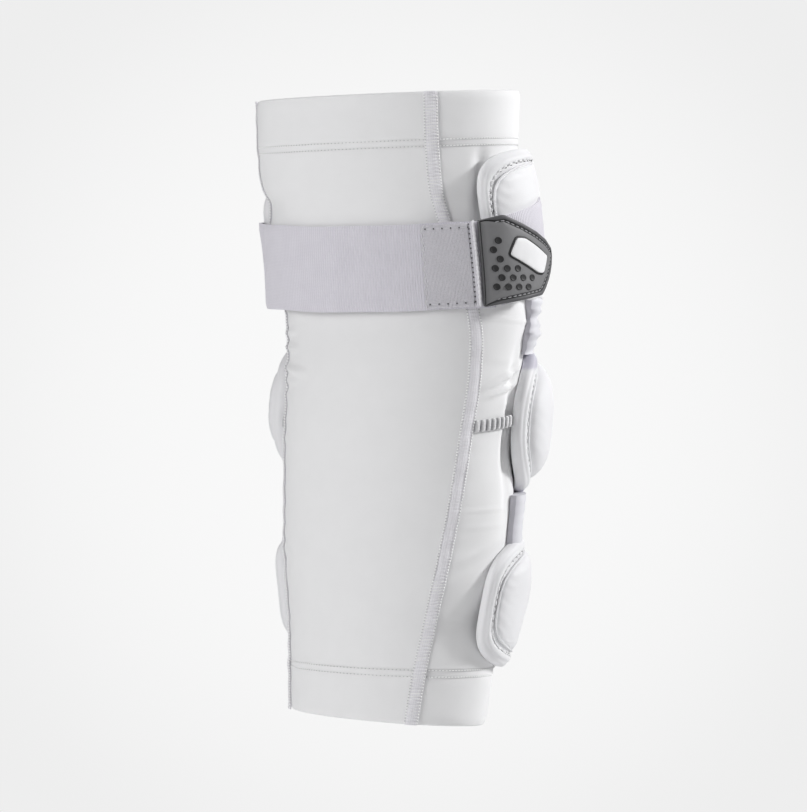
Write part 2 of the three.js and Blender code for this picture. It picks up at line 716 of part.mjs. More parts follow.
// Strap, its loop patch and the rubber pull tab
add("strap", strapBand(strapStart, strapEnd, STRAP_COLUMNS, STRAP_WIDTH, 0, STRAP_CLOTH), "elastic");
add(
  "strap_loop_patch",
  strapBand(patchStart, patchEnd, patchColumns, patchWidth, patchFoot, patchFoot + PATCH_CLOTH),
  "loop",
);
const strapBelow = solid(
  strapBand(strapStart, strapEnd, STRAP_COLUMNS, STRAP_WIDTH, -GAP, STRAP_CLOTH + GAP),
);
add("pull_tab", geometryOf(solid(pullTab()).subtract(strapBelow)), "rubber");
add("pull_tab_badge", badge(), "badge");

export default armPad;
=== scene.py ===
import math
import random

import bpy
import numpy as np
from mathutils import Matrix, Vector


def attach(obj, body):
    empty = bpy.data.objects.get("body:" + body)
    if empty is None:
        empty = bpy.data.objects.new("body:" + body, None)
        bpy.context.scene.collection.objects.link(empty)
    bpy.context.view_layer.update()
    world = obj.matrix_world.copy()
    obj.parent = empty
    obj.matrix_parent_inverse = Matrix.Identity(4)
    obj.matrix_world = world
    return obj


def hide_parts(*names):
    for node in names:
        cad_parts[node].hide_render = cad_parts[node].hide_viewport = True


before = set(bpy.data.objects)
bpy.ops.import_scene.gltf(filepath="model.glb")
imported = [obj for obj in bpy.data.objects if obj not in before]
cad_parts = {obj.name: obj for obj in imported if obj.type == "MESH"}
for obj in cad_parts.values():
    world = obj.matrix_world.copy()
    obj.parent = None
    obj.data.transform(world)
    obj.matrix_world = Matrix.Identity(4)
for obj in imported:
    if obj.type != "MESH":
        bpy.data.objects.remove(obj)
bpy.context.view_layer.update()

# Camera: a long lens at the pad's inner front corner, level with its middle and looking down by a
# degree and a half.
view_turn = math.radians(38)
view_rise = math.radians(1.5)
camera_distance = 2.85
to_camera = Vector(
    (
        math.sin(view_turn) * math.cos(view_rise),
        -math.cos(view_turn) * math.cos(view_rise),
        math.sin(view_rise),
    )
)
view_right = Vector((math.cos(view_turn), math.sin(view_turn), 0))
view_up = to_camera.cross(view_right)
aim = view_right * 0.0083 + view_up * 0.0093
bpy.ops.object.camera_add(
    location=aim + to_camera * camera_distance,
    rotation=to_camera.to_track_quat("Z", "Y").to_euler(),
)
camera = bpy.context.object
camera.data.sensor_width = 36
camera.data.sensor_fit = "HORIZONTAL"
camera.data.lens = 245
camera.data.clip_end = 50
bpy.context.scene.camera = camera
bpy.context.scene.view_settings.view_transform = "Standard"

# Studio: a pale paper background, painted a little lighter behind the pad as a pool of light, that
# also fills in the shadows, and a plain pale floor well below the pad, which is held up.
studio = bpy.data.worlds.new("studio")
studio.use_nodes = True
bpy.context.scene.world = studio
nodes, links = studio.node_tree.nodes, studio.node_tree.links
nodes.clear()
direction = nodes.new("ShaderNodeTexCoord")
facing = nodes.new("ShaderNodeVectorMath")
facing.operation = "DOT_PRODUCT"
facing.inputs[1].default_value = -to_camera
halo = nodes.new("ShaderNodeMapRange")
halo.interpolation_type = "SMOOTHSTEP"
halo.inputs["From Min"].default_value = 0.9952
halo.inputs["From Max"].default_value = 1.0
paper = nodes.new("ShaderNodeMix")
paper.data_type = "RGBA"
paper.inputs[6].default_value = (0.855, 0.855, 0.855, 1)
paper.inputs[7].default_value = (0.945, 0.945, 0.945, 1)
seen = nodes.new("ShaderNodeBackground")
fill = nodes.new("ShaderNodeBackground")
fill.inputs["Color"].default_value = (0.985, 0.985, 1.0, 1)
fill.inputs["Strength"].default_value = 0.22
ray = nodes.new("ShaderNodeLightPath")
either = nodes.new("ShaderNodeMixShader")
out = nodes.new("ShaderNodeOutputWorld")
links.new(direction.outputs["Generated"], facing.inputs[0])
links.new(facing.outputs["Value"], halo.inputs["Value"])
links.new(halo.outputs["Result"], paper.inputs[0])
links.new(paper.outputs[2], seen.inputs["Color"])
links.new(ray.outputs["Is Camera Ray"], either.inputs[0])
links.new(fill.outputs[0], either.inputs[1])
links.new(seen.outputs[0], either.inputs[2])
links.new(either.outputs[0], out.inputs["Surface"])

# Lights: turn from the camera to the right, rise, distance, size and strength
for name, turn, rise, distance, size, watts in (
    ("left softbox", -56, 12, 1.7, 0.9, 13.2),
    ("right softbox", 88, 26, 1.5, 0.25, 17.5),
    ("top softbox", 10, 74, 1.6, 0.9, 5.0),
    ("rear softbox", 170, 20, 1.8, 1.2, 4.0),
):
    a, e = view_turn + math.radians(turn), math.radians(rise)
    way = Vector((math.sin(a) * math.cos(e), -math.cos(a) * math.cos(e), math.sin(e)))
    bpy.ops.object.light_add(
        type="AREA", location=way * distance, rotation=way.to_track_quat("Z", "Y").to_euler()
    )
    lamp = bpy.context.object
    lamp.name = name
    lamp.data.shape = "DISK"
    lamp.data.size = size
    lamp.data.energy = watts

floor_height = -0.46
bpy.ops.object.select_all(action="DESELECT")
bpy.ops.mesh.primitive_circle_add(vertices=96, radius=1.9, fill_type="NGON")
floor = bpy.context.object
floor.name = "floor"
floor.data.transform(Matrix.Translation((0, 0, floor_height)))
pale = bpy.data.materials.new("pale_floor")
pale.use_nodes = True
shader = pale.node_tree.nodes["Principled BSDF"]
shader.inputs["Base Color"].default_value = (0.9, 0.9, 0.9, 1)
shader.inputs["Roughness"].default_value = 0.9
floor.data.materials.append(pale)

# Sleeve: two panels of fine white stretch knit round the arm. They are laid on the arm's surface,
# with the folds that the elbow and the pads pull in them, and given the cloth's thickness inwards.
MM = 0.001
sleeve_length = 322
below_elbow = 152
elbow_width = 135
elbow_depth = 88
elbow_bow = 10.5
bow_way = math.radians(50)
slant_way = math.radians(38)
upper_slant = 0.031
lower_slant = -0.052
cloth = 1.4
gap = 0.3
upper_hem_height = 28.7
lower_hem_height = 28.4
# share of the length, girth, bow, and the angles of the near and far seams
sleeve_rows = np.array(
    [
        (0.0, 0.84, 0.0, -49, 210),
        (0.08, 0.878, 0.19, -47, 209.5),
        (0.16, 0.913, 0.31, -43, 209),
        (0.25, 0.961, 0.4, -38.3, 209),
        (0.35, 0.992, 0.54, -33.8, 209.5),
        (0.46, 1.0, 0.61, -28.7, 210),
        (0.56, 1.009, 0.83, -26.4, 210),
        (0.65, 1.053, 1.0, -30.6, 208.5),
        (0.83, 1.113, 0.27, -42.6, 202),
        (0.91, 1.122, 0.0, -43.0, 200),
        (1.0, 1.139, 0.0, -44.2, 200),
    ]
)
# Folds: height and angle where each starts and ends, how proud it stands and how wide it is, in mm
folds = (
    (30.5, 16, 17.8, -24, 2.4, 2.0),
    (22.0, 12, 14.2, -20, 2.2, 1.8),
    (12.0, 12, 10.5, -8, 0.4, 2.4),
    (-55.5, 6, -71.5, -34, 0.75, 3.4),
    (-64.5, 4, -79.0, -28, 0.3, 3.0),
    (53.2, 16, 55.6, -28, 0.6, 1.4),
    (31.0, 18, 35.5, -24, 0.3, 2.4),
    (-42.0, 8, -43.4, -36, 0.45, 1.5),
    (-50.6, 6, -51.8, -36, 0.3, 2.2),
    (49.0, -128, 45.3, -156, 0.8, 2.4),
    (38.8, -126, 39.9, -158, 1.0, 2.2),
    (26.0, -118, 30.4, -160, 1.7, 2.9),
    (22.5, -124, 21.0, -152, 0.6, 2.0),
    (56.0, -120, 62.0, -158, 0.7, 3.2),
    (-10.0, -126, -7.0, -158, 0.35, 2.6),
    (-60.0, -128, -57.0, -156, 0.35, 2.8),
    (31.0, 192, 20.0, 222, 1.2, 2.6),
    (20.0, 196, 13.0, 220, 0.8, 2.4),
    (-56.0, 196, -70.0, 222, 0.7, 3.2),
    (50.0, 190, 46.0, 218, 0.6, 2.4),
    (113.0, -172, 113.0, -112, -3.0, 11.0),
    (-100.0, 60, -102.0, -60, -4.4, 16.0),
    (124.0, 40, 112.0, -50, -2.0, 10.0),
    (-12.0, 60, -14.0, -26, -2.0, 20.0),
    (142.0, -17.5, 92.0, -23.0, -2.6, 4.0),
    (40.0, 6.0, -50.0, 6.0, -2.6, 5.0),
)
seam_ridge = 1.3


def follow(rows, column, place):
    """A table's column at each place, on a smooth curve through its rows."""
    x, y = rows[:, 0], rows[:, column]
    p = np.clip(place, x[0], x[-1])
    i = np.clip(np.searchsorted(x, p) - 1, 0, len(x) - 2)
    k = np.arange(len(x))
    before, after = np.maximum(k - 1, 0), np.minimum(k + 1, len(x) - 1)
    slope = (y[after] - y[before]) / (x[after] - x[before])
    span = x[i + 1] - x[i]
    u = (p - x[i]) / span
    rise = y[i + 1] - y[i]
    bend = (1 - u) * (slope[i] * span - rise) + u * (rise - slope[i + 1] * span)
    return y[i] + u * rise + u * (1 - u) * bend


def ease(x, start, end):
    """0 before start, 1 after end, and a smooth step between them."""
    u = np.clip((np.asarray(x, float) - start) / (end - start), 0, 1)
    return u * u * (3 - 2 * u)


def skin(at, angle, offset=0.0):
    """Points on the arm, in mm: a share of its length, an angle round it and an offset outwards."""
    at, angle, offset = np.broadcast_arrays(at, angle, offset)
    girth = follow(sleeve_rows, 1, at)
    bow = elbow_bow * follow(sleeve_rows, 2, at)
    t = np.radians(angle)
    wide, deep = elbow_width / 2 * girth, elbow_depth / 2 * girth
    out_x, out_y = np.cos(t) / wide, np.sin(t) / deep
    size = np.hypot(out_x, out_y)
    x = wide * np.cos(t) + out_x / size * offset
    y = deep * np.sin(t) + out_y / size * offset
    tilt = upper_slant * ease(at, 0.8, 0.92) + lower_slant * (1 - ease(at, 0, 0.12))
    slant = tilt * (x * math.cos(slant_way) + y * math.sin(slant_way))
    z = at * sleeve_length - below_elbow + slant
    return np.stack([x + bow * math.cos(bow_way), y + bow * math.sin(bow_way), z], axis=-1)


def degree(at, angle, offset=0.0):
    """Millimetres round the arm for each degree."""
    return np.linalg.norm(skin(at, angle + 0.5, offset) - skin(at, angle - 0.5, offset), axis=-1)


def drape(at, angle):
    """How far the cloth stands out of its plain shape, in mm, from its folds and slight waves."""
    at, angle = np.broadcast_arrays(np.asarray(at, float), np.asarray(angle, float))
    turned = (angle + 160) % 360 - 160
    height = at * sleeve_length - below_elbow
    lift = 0.16 * np.sin(height / 19 + turned / 23) * np.sin(turned / 31 - height / 43)
    lift = lift + 0.09 * np.sin(height / 7.3 + turned / 11) * np.sin(height / 31)
    for z0, a0, z1, a1, proud, wide in folds:
        for turn in (0, 360, -360):
            dz, da = z1 - z0, (a1 - a0) * 0.85
            pz, pa = height - z0, (turned + turn - a0) * 0.85
            u = (pz * dz + pa * da) / (dz * dz + da * da)
            away = (pz * da - pa * dz) / math.hypot(dz, da)
            fade = ease(u, -0.1, 0.25) * (1 - ease(u, 0.55, 1.1))
            d = (away / wide) ** 2
            lift = lift + proud * fade * (1 - 0.8 * d) * np.exp(-d)
    for seam in (3, 4):
        from_seam = np.abs((turned - follow(sleeve_rows, seam, at) + 180) % 360 - 180)
        lift = lift + 0.16 * np.exp(-((from_seam / 9) ** 2)) * np.sin(height / 1.9 + np.sin(height / 9))
        if seam == 3:
            free = ease(np.abs(height - 82), 25, 38) * (1 - ease(height, 150, 168))
            lift = lift + seam_ridge * np.exp(-from_seam / 9) * free
    return lift


def laid_grid(name, columns, rows, lie):
    """A grid of cloth whose points are laid where lie(x, y) says, x and y from 0 to 1 over it."""
    bpy.ops.object.select_all(action="DESELECT")
    bpy.ops.mesh.primitive_grid_add(x_subdivisions=columns, y_subdivisions=rows, size=1)
    piece = bpy.context.object
    piece.name = piece.data.name = name
    flat = np.empty(len(piece.data.vertices) * 3)
    piece.data.vertices.foreach_get("co", flat)
    flat = flat.reshape(-1, 3)
    x, y = flat[:, 0] + 0.5, flat[:, 1] + 0.5
    piece.data.vertices.foreach_set("co", (lie(x, y) * MM).ravel())
    piece.data.update()
    return piece


def measure(piece, across, along):
    """Keeps each point's place on the flat cloth, in mm, as the attribute that its weave follows."""
    place = piece.data.attributes.new("lie", "FLOAT_VECTOR", "POINT")
    place.data.foreach_set("vector", np.stack([across, along, across * 0], axis=-1).ravel())


def grid_shares(piece):
    """x and y of each point of a fresh grid, from its own UV map."""
    uv = np.empty(len(piece.data.loops) * 2)
    piece.data.uv_layers[0].data.foreach_get("uv", uv)
    corner = np.empty(len(piece.data.loops), dtype=int)
    piece.data.loops.foreach_get("vertex_index", corner)
    shares = np.zeros((len(piece.data.vertices), 2))
    shares[corner] = uv.reshape(-1, 2)
    return shares[:, 0], shares[:, 1]


def apply_modifier(piece, kind, **settings):
    """Adds a modifier with these settings and applies it."""
    bpy.context.view_layer.objects.active = piece
    modifier = piece.modifiers.new(kind.title(), kind)
    for key, value in settings.items():
        setattr(modifier, key, value)
    bpy.ops.object.modifier_apply(modifier=modifier.name)


def finish_piece(piece, material, slot, *nodes):
    """Gives a piece its material, smooth shading and body, and hides the model's parts for the nodes
    it stands for; the slot is not used.
    """
    if material:
        piece.data.materials.clear()
        piece.data.materials.append(material)
    bpy.ops.object.select_all(action="DESELECT")
    piece.select_set(True)
    bpy.context.view_layer.objects.active = piece
    bpy.ops.object.shade_smooth_by_angle(angle=math.radians(50))
    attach(piece, "root")
    if nodes:
        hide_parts(*nodes)


def cloth_piece(name, grid, lie, size, thick, material, slot, node, start=0, **more):
    """Cloth of this thickness, laid by lie(x, y), whose weave follows its flat size in mm."""
    piece = laid_grid(name, *grid, lie)
    x, y = grid_shares(piece)
    measure(piece, start + x * size[0], y * size[1])
    apply_modifier(piece, "SOLIDIFY", thickness=thick * MM, offset=-1, **more)
    finish_piece(piece, material, slot, node)
    return piece


def node_group(name, inputs, outputs):
    """An empty shader node group with these sockets, and its nodes, links and two ends."""
    group = bpy.data.node_groups.new(name, "ShaderNodeTree")
    for label, value in inputs:
        kind = "NodeSocketVector" if value is None else "NodeSocketFloat"
        socket = group.interface.new_socket(name=label, in_out="INPUT", socket_type=kind)
        if value is not None:
            socket.default_value = value
    for label in outputs:
        group.interface.new_socket(name=label, in_out="OUTPUT", socket_type="NodeSocketFloat")
    start = group.nodes.new("NodeGroupInput")
    end = group.nodes.new("NodeGroupOutput")
    return group, group.nodes, group.links, start, end


def math_node(nodes, links, operation, a, b=None):
    """A math node on sockets or numbers; gives its output."""
    node = nodes.new("ShaderNodeMath")
    node.operation = operation
    for i, value in enumerate((a, b)):
        if value is None:
            continue
        if isinstance(value, (int, float)):
            node.inputs[i].default_value = value
        else:
            links.new(value, node.inputs[i])
    return node.outputs[0]


def give(node, values):
    """Sets a node's inputs."""
    for key, value in values.items():
        node.inputs[key].default_value = value
    return node


def new_material(name):
    """A fresh material, with its nodes, its links and its shader."""
    material = bpy.data.materials.new(name)
    material.use_nodes = True
    tree = material.node_tree
    return material, tree.nodes, tree.links, tree.nodes["Principled BSDF"]


def noise_node(nodes, links, place, scale, detail):
    """A noise texture; gives its value."""
    node = give(nodes.new("ShaderNodeTexNoise"), {"Scale": scale, "Detail": detail})
    links.new(place, node.inputs["Vector"])
    return node.outputs[0]


def range_node(nodes, links, value, limits):
    """A value moved from one range to another; gives the new value."""
    node = give(nodes.new("ShaderNodeMapRange"), limits)
    links.new(value, node.inputs["Value"])
    return node.outputs[0]


def colour_mix(nodes, links, share, first, second):
    """Two colours, of which the first may be a socket, mixed by a share; gives the mix."""
    node = nodes.new("ShaderNodeMix")
    node.data_type = "RGBA"
    links.new(share, node.inputs[0])
    if isinstance(first, tuple):
        node.inputs[6].default_value = (*first, 1)
    else:
        links.new(first, node.inputs[6])
    node.inputs[7].default_value = (*second, 1)
    return node.outputs[2]


def raise_surface(nodes, links, shader, height, strength, distance):
    """Raises a shader's surface by a height."""
    node = give(nodes.new("ShaderNodeBump"), {"Strength": strength, "Distance": distance})
    links.new(height, node.inputs["Height"])
    links.new(node.outputs[0], shader.inputs["Normal"])


# Knit: rows of loops in columns, from the flat cloth's millimetres, with a slow unevenness.
knit, n, l, start, end = node_group(
    "knit",
    [("Place", None), ("Columns Apart", 0.8), ("Loops Apart", 0.6), ("Unevenness", 0.5)],
    ["Thread", "Cloud"],
)
split = n.new("ShaderNodeSeparateXYZ")
l.new(start.outputs["Place"], split.inputs[0])
turns = math_node(n, l, "DIVIDE", split.outputs[0], start.outputs["Columns Apart"])
column = math_node(n, l, "SINE", math_node(n, l, "MULTIPLY", turns, 2 * math.pi))
steps = math_node(n, l, "DIVIDE", split.outputs[1], start.outputs["Loops Apart"])
slip = math_node(n, l, "MULTIPLY", column, 0.22)
loop = math_node(
    n, l, "SINE", math_node(n, l, "MULTIPLY", math_node(n, l, "ADD", steps, slip), 2 * math.pi)
)
woven = math_node(
    n, l, "ADD", math_node(n, l, "MULTIPLY", column, 0.6), math_node(n, l, "MULTIPLY", loop, 0.4)
)
cloud = noise_node(n, l, start.outputs["Place"], 0.09, 4)
fuzz = noise_node(n, l, start.outputs["Place"], 1.4, 3)
ragged = math_node(
    n, l, "MULTIPLY", math_node(n, l, "SUBTRACT", fuzz, 0.5), start.outputs["Unevenness"]
)
l.new(math_node(n, l, "ADD", math_node(n, l, "MULTIPLY", woven, 0.5), ragged), end.inputs["Thread"])
l.new(cloud, end.inputs["Cloud"])


def cloth_material(name, dark, light, columns, loops, bump, uneven=0.5, rough=0.88, sheen=0.25):
    """White or grey cloth: the knit group's threads colour it and raise it."""
    material, n, l, shader = new_material(name)
    give(shader, {"Roughness": rough, "Sheen Weight": sheen, "Sheen Roughness": 0.6})
    give(shader, {"Specular IOR Level": 0.25})
    place = n.new("ShaderNodeAttribute")
    place.attribute_name = "lie"
    weave = n.new("ShaderNodeGroup")
    weave.node_tree = knit
    give(weave, {"Columns Apart": columns, "Loops Apart": loops, "Unevenness": uneven})
    l.new(place.outputs["Vector"], weave.inputs["Place"])
    thread = range_node(n, l, weave.outputs["Thread"], {"From Min": -0.6, "From Max": 0.6})
    cloud = math_node(n, l, "MULTIPLY", math_node(n, l, "SUBTRACT", weave.outputs["Cloud"], 0.5), 0.5)
    share = math_node(n, l, "ADD", thread, cloud)
    l.new(colour_mix(n, l, share, dark, light), shader.inputs["Base Color"])
    raise_surface(n, l, shader, weave.outputs["Thread"], bump, 0.0003)
    return material


sleeve_knit = cloth_material(
    "sleeve_knit", (0.81, 0.81, 0.815), (0.88, 0.88, 0.885), 0.5, 0.42, 0.14, uneven=0.25, sheen=0.15
)
panel_widths = (120, 230)
panel_long = sleeve_length - upper_hem_height - lower_hem_height
panel_foot = lower_hem_height / sleeve_length
panel_top = 1 - upper_hem_height / sleeve_length


def seam_angle(at, seam):
    """The angle of the near seam, 3, or the far seam, 4."""
    return follow(sleeve_rows, seam, at)


def panel(name, side, grid, node):
    """One panel between the seams: side 0 is the inner arm's and 1 the elbow's."""

    def lie(x, y):
        at = panel_foot + (panel_top - panel_foot) * y
        near, far = seam_angle(at, 3), seam_angle(at, 4)
        angle = (far - 360) + (near - far + 360) * x if side == 0 else near + (far - near) * x
        return skin(at, angle, drape(at, angle))

    size = (panel_widths[side], panel_long)
    return cloth_piece(
        name, grid, lie, size, cloth, sleeve_knit, "sleeve_knit", node, use_even_offset=True
    )


front_cloth = panel("sleeve_front_cloth", 0, (96, 200), "sleeve_front_panel")
back_cloth = panel("sleeve_back_cloth", 1, (124, 230), "sleeve_back_panel")

# Hems: the sleeve's own knit turned in at each rim to a soft fold, two cloths thick. Each is a ring
# whose section runs up the outside, over the fold and down the inside.
hem_cloth = 2.2
fold_round = 1.05
foot_round = 0.15
hem_round = 395
hem_columns = 260
hem_rows = (0.8, 4.1)
row_spread = 0.55


def hem_section(height):
    """Offset outwards and distance from the foot, round the hem's section, in mm."""
    inner, fold = -hem_cloth, height - fold_round
    fine = 5.2
    section = [(0.0, foot_round + 0.3 * i) for i in range(16)]
    section += [(0.0, fine + (fold - fine) * i / 8) for i in range(9)]
    for i in range(1, 9):
        a = math.pi * i / 9
        section.append((-fold_round * (1 - math.cos(a)), height - fold_round * (1 - math.sin(a))))
    section += [(inner, fold - (fold - foot_round) * i / 6) for i in range(7)]
    section += [(inner + foot_round, 0.0), (-foot_round, 0.0)]
    return np.array(section + section[:1])


def hem(name, rim, height, node):
    """The hem at the share of the length where the rim is, built from its foot to the rim."""
    section = hem_section(height)
    rows = len(section) - 1
    way = 1 if rim == 1 else -1
    foot = rim - way * height / sleeve_length

    def lie(x, y):
        k = np.rint(y * rows).astype(int)
        offset, up = section[k, 0], section[k, 1]
        angle = -150 + 360 * x * way
        at = foot + way * up / sleeve_length
        wave = 0.10 * np.sin(np.radians(angle) * 5 + 1) + 0.07 * np.sin(np.radians(angle) * 13)
        outer = 0.3 * ease(offset, -1.2, 0.0) * ease(up, 0.5, 7)
        for row in hem_rows:
            outer = outer - 0.2 * np.exp(-(((up - row) / row_spread) ** 2)) * (offset > -0.1)
        rolled = 0.8 * ease(up, height - 4, height) ** 2
        return skin(at, angle, offset + outer - rolled + wave + drape(at, angle) * 0.6)

    piece = laid_grid(name, hem_columns, rows, lie)
    x, y = grid_shares(piece)
    walked = np.cumsum(np.hypot(*np.diff(section, axis=0, prepend=section[:1]).T))
    measure(piece, x * hem_round, walked[np.rint(y * rows).astype(int)])
    bpy.ops.object.mode_set(mode="EDIT")
    bpy.ops.mesh.select_all(action="SELECT")
    bpy.ops.mesh.remove_doubles(threshold=0.00002)
    bpy.ops.mesh.normals_make_consistent(inside=False)
    bpy.ops.object.mode_set(mode="OBJECT")
    finish_piece(piece, sleeve_knit, "hem_knit", node)
    return piece


upper_turned_hem = hem("upper_turned_hem", 1, upper_hem_height, "upper_hem")
lower_turned_hem = hem("lower_turned_hem", 0, lower_hem_height, "lower_hem")

# Stitching: polyester thread. One stitch is modelled as a small plump bead of thread, then copied
# from hole to hole along each seam.
bpy.ops.object.select_all(action="DESELECT")
bpy.ops.mesh.primitive_uv_sphere_add(segments=6, ring_count=4, radius=0.5)
one_stitch = bpy.context.object
stitch_points = np.array([v.co[:] for v in one_stitch.data.vertices])
stitch_faces = [tuple(f.vertices) for f in one_stitch.data.polygons]
bpy.data.objects.remove(one_stitch)


def thread_material(name, colour, rough):
    """Twisted thread: fine slanting lines on its own colour, a little shiny."""
    material, n, l, shader = new_material(name)
    give(shader, {"Roughness": rough, "Specular IOR Level": 0.35})
    twist = give(n.new("ShaderNodeTexWave"), {"Scale": 900, "Distortion": 1.5})
    twist.bands_direction = "DIAGONAL"
    l.new(n.new("ShaderNodeTexCoord").outputs["Object"], twist.inputs["Vector"])
    shade = colour_mix(n, l, twist.outputs["Fac"], tuple(c * 0.86 for c in colour), colour)
    l.new(shade, shader.inputs["Base Color"])
    return material


white_thread = thread_material("white_thread", (0.97, 0.97, 0.97), 0.55)
# Painted shade, not thread: grey beads in each needle hole of the hems and tapes and a grey line beside
# the patch's zigzag edge, near black beads in each needle hole of the pads and the patch.
grey_painted_shade = thread_material("grey_painted_shade", (0.68, 0.68, 0.69), 0.9)
dark_painted_shade = thread_material("dark_painted_shade", (0.13, 0.13, 0.14), 0.9)


def sew(name, pairs, thick, slot, material=white_thread):
    """Stitches from hole to hole: pairs of points and outward ways in mm, for beads this thick."""
    verts, faces = [], []
    for a, b, out in pairs:
        along = b - a
        long = np.linalg.norm(along)
        along = along / long
        side = np.cross(out, along)
        side = side / np.linalg.norm(side)
        lift = np.cross(along, side)
        frame_of = np.stack([side * thick, lift * thick * 0.85, along * long * 1.04])
        base = len(verts)
        verts.extend(((stitch_points @ frame_of) + (a + b) / 2) * MM)
        faces.extend(tuple(base + i for i in f) for f in stitch_faces)
    mesh = bpy.data.meshes.new(name)
    mesh.from_pydata([tuple(v) for v in verts], [], faces)
    piece = bpy.data.objects.new(name, mesh)
    bpy.context.collection.objects.link(piece)
    finish_piece(piece, material, slot)
    return piece


def outward(at, angle):
    """The way out of the arm's surface."""
    way = skin(at, angle, 1.0) - skin(at, angle, 0.0)
    return way / np.linalg.norm(way)


def ring_row(at, pitch, long, offset, start=0.0):
    """Pairs for a row of stitches round a hem."""
    count = int(360 / (pitch / float(degree(at, 45))))
    pairs = []
    for i in range(count):
        a = 360 * (i + start) / count
        step = 0.5 * long / float(degree(at, a))
        lift = offset + float(drape(at, a)) * 0.6
        pairs.append((skin(at, a - step, lift), skin(at, a + step, lift), outward(at, a)))
    return pairs


hem_pitch = 1.9
hem_thread = 0.75
hem_needle = 0.62


def hem_stitches(name, rim, height):
    """The hem's two rows of stitches, each bead followed by a grey bead of painted shade in its
    needle hole.
    """
    way = 1 if rim == 1 else -1
    pairs, hole_shades = [], []
    for up in hem_rows:
        at = rim - way * (height - up) / sleeve_length
        pairs += ring_row(at, hem_pitch, 1.15, 0.3)
        hole_shades += ring_row(at, hem_pitch, 0.55, 0.1, 0.5)
    sew(name + "_holes", hole_shades, hem_needle, "hem_knit", grey_painted_shade)
    return sew(name, pairs, hem_thread, "hem_knit")


upper_hem_stitches = hem_stitches("upper_hem_stitches", 1, upper_hem_height)
lower_hem_stitches = hem_stitches("lower_hem_stitches", 0, lower_hem_height)

# Seam tapes: soft grey-white stretch tape laid over each long seam from rim to rim and held by a
# zigzag along both edges. Its cross threads stand up like a ladder near the two hems.
tape_width = 6.5
tape_cloth = 0.7
tape_knit = cloth_material(
    "tape_knit", (0.75, 0.74, 0.775), (0.86, 0.85, 0.88), 1.1, 0.9, 0.3, uneven=0.5
)
tape_over_hem = 0.35
tape_pitch = 1.5
tape_thread = 0.8
tape_needle = 0.66
rung_apart = 1.8


def tape_lift(at):
    """The tape also climbs over the thicker cloth of the two hems."""
    on_hem = 1 - ease(at, panel_foot - 0.006, panel_foot + 0.006)
    on_hem = on_hem + ease(at, panel_top - 0.006, panel_top + 0.006)
    return gap + tape_over_hem * on_hem


def ladder(at):
    """How strongly the cross threads show."""
    return 0.25 + 0.75 * (1 - ease(at, 0.12, 0.3)) + 0.75 * ease(at, 0.62, 0.75)


def seam_tape(name, seam, node):
    def lie(x, y):
        angle = seam_angle(y, seam)
        width = tape_width * (1 + 0.03 * np.sin(y * 90))
        turn = angle + (x - 0.5) * width / degree(y, angle)
        rung = np.abs(np.sin(y * sleeve_length / rung_apart * math.pi)) * ladder(y) * 0.5
        round_over = 0.6 * np.abs(2 * x - 1) ** 4
        wander = 0.10 * np.sin(y * 71 + x * 3)
        lift = tape_lift(y) + tape_cloth + rung * (1 - round_over) - round_over + wander
        return skin(y, turn, lift + drape(y, turn) * 0.9)

    size = (tape_width, sleeve_length)
    return cloth_piece(name, (8, 960), lie, size, tape_cloth, tape_knit, "seam_tape", node)


def tape_stitches(name, seam):
    """Slanting stitches over both edges of the tape, a grey bead of painted shade in each needle hole
    between them, and the threads that cross the tape near the two hems."""
    pairs, hole_shades = [], []
    pitch = tape_pitch / sleeve_length
    half = tape_width / 2

    def on_tape(at, across, rise):
        angle = float(seam_angle(at, seam))
        turn = angle + across / float(degree(at, angle))
        return skin(at, turn, float(tape_lift(at) + drape(at, turn) * 0.9) + rise), turn

    for i in range(int(0.994 / pitch)):
        at = 0.003 + i * pitch
        hole_at = at + 0.62 * pitch
        for side in (-1, 1):
            foot, turn = on_tape(at, side * (half + 0.3), 0.3)
            head, _ = on_tape(at + 0.25 * pitch, side * (half - 0.75), tape_cloth + 0.2)
            pairs.append((foot, head, outward(at, turn)))
            low, _ = on_tape(hole_at, side * (half + 0.3), 0.2)
            high, _ = on_tape(hole_at, side * (half - 0.45), tape_cloth + 0.02)
            hole_shades.append((low, high, outward(at, turn)))
        if ladder(at) > 0.5:
            rise = tape_cloth + 0.05 + 0.15 * float(ladder(at))
            left, turn = on_tape(at, -half + 0.7, rise)
            right, _ = on_tape(at + 0.2 * pitch, half - 0.7, rise)
            pairs.append((left, right, outward(at, turn)))
    sew(name + "_holes", hole_shades, tape_needle, "seam_tape", grey_painted_shade)
    return sew(name, pairs, tape_thread, "seam_tape")


near_tape = seam_tape("near_tape", 3, "near_seam_tape")
far_tape = seam_tape("far_tape", 4, "far_seam_tape")
near_tape_stitches = tape_stitches("near_tape_stitches", 3)
far_tape_stitches = tape_stitches("far_tape_stitches", 4)

# Pads: each is a slab of foam in a smooth coated cover, with a second, domed pad sewn on top. The
# cover's edge is pressed to a soft shoulder, and the seam sinks into a groove beside a turned bead.
# The place, height and side angles of each, with how it leans, skews and squares, as it was cut.
pads = {
    "upper": dict(at=0.775, height=79, near=-22, far=193, lean=-0.078, skew=-3, corner=4.5,
                  dome_corner=4, foam=7, rise=3.4, low_end=1, start_low=0.3, lumps=0.15),
    "elbow": dict(at=0.4857, height=86, near=7.5, far=200, lean=0.05, skew=0, corner=2.8,
                  dome_corner=2.7, foam=8, rise=16.6, low_end=1, start_low=0.4, lumps=0.0),
    "lower": dict(at=0.1935, height=69.2, near=-11.5, far=195, lean=0.022, skew=4, corner=4,
                  dome_corner=3.4, foam=8, rise=9.4, low_end=0.45, start_low=0.5, lumps=0.6),
}
dome_squareness = 3.2
pad_cells = 56
rings = pad_cells // 2
stitch_inset = 5.5
pad_pitch = 3.6


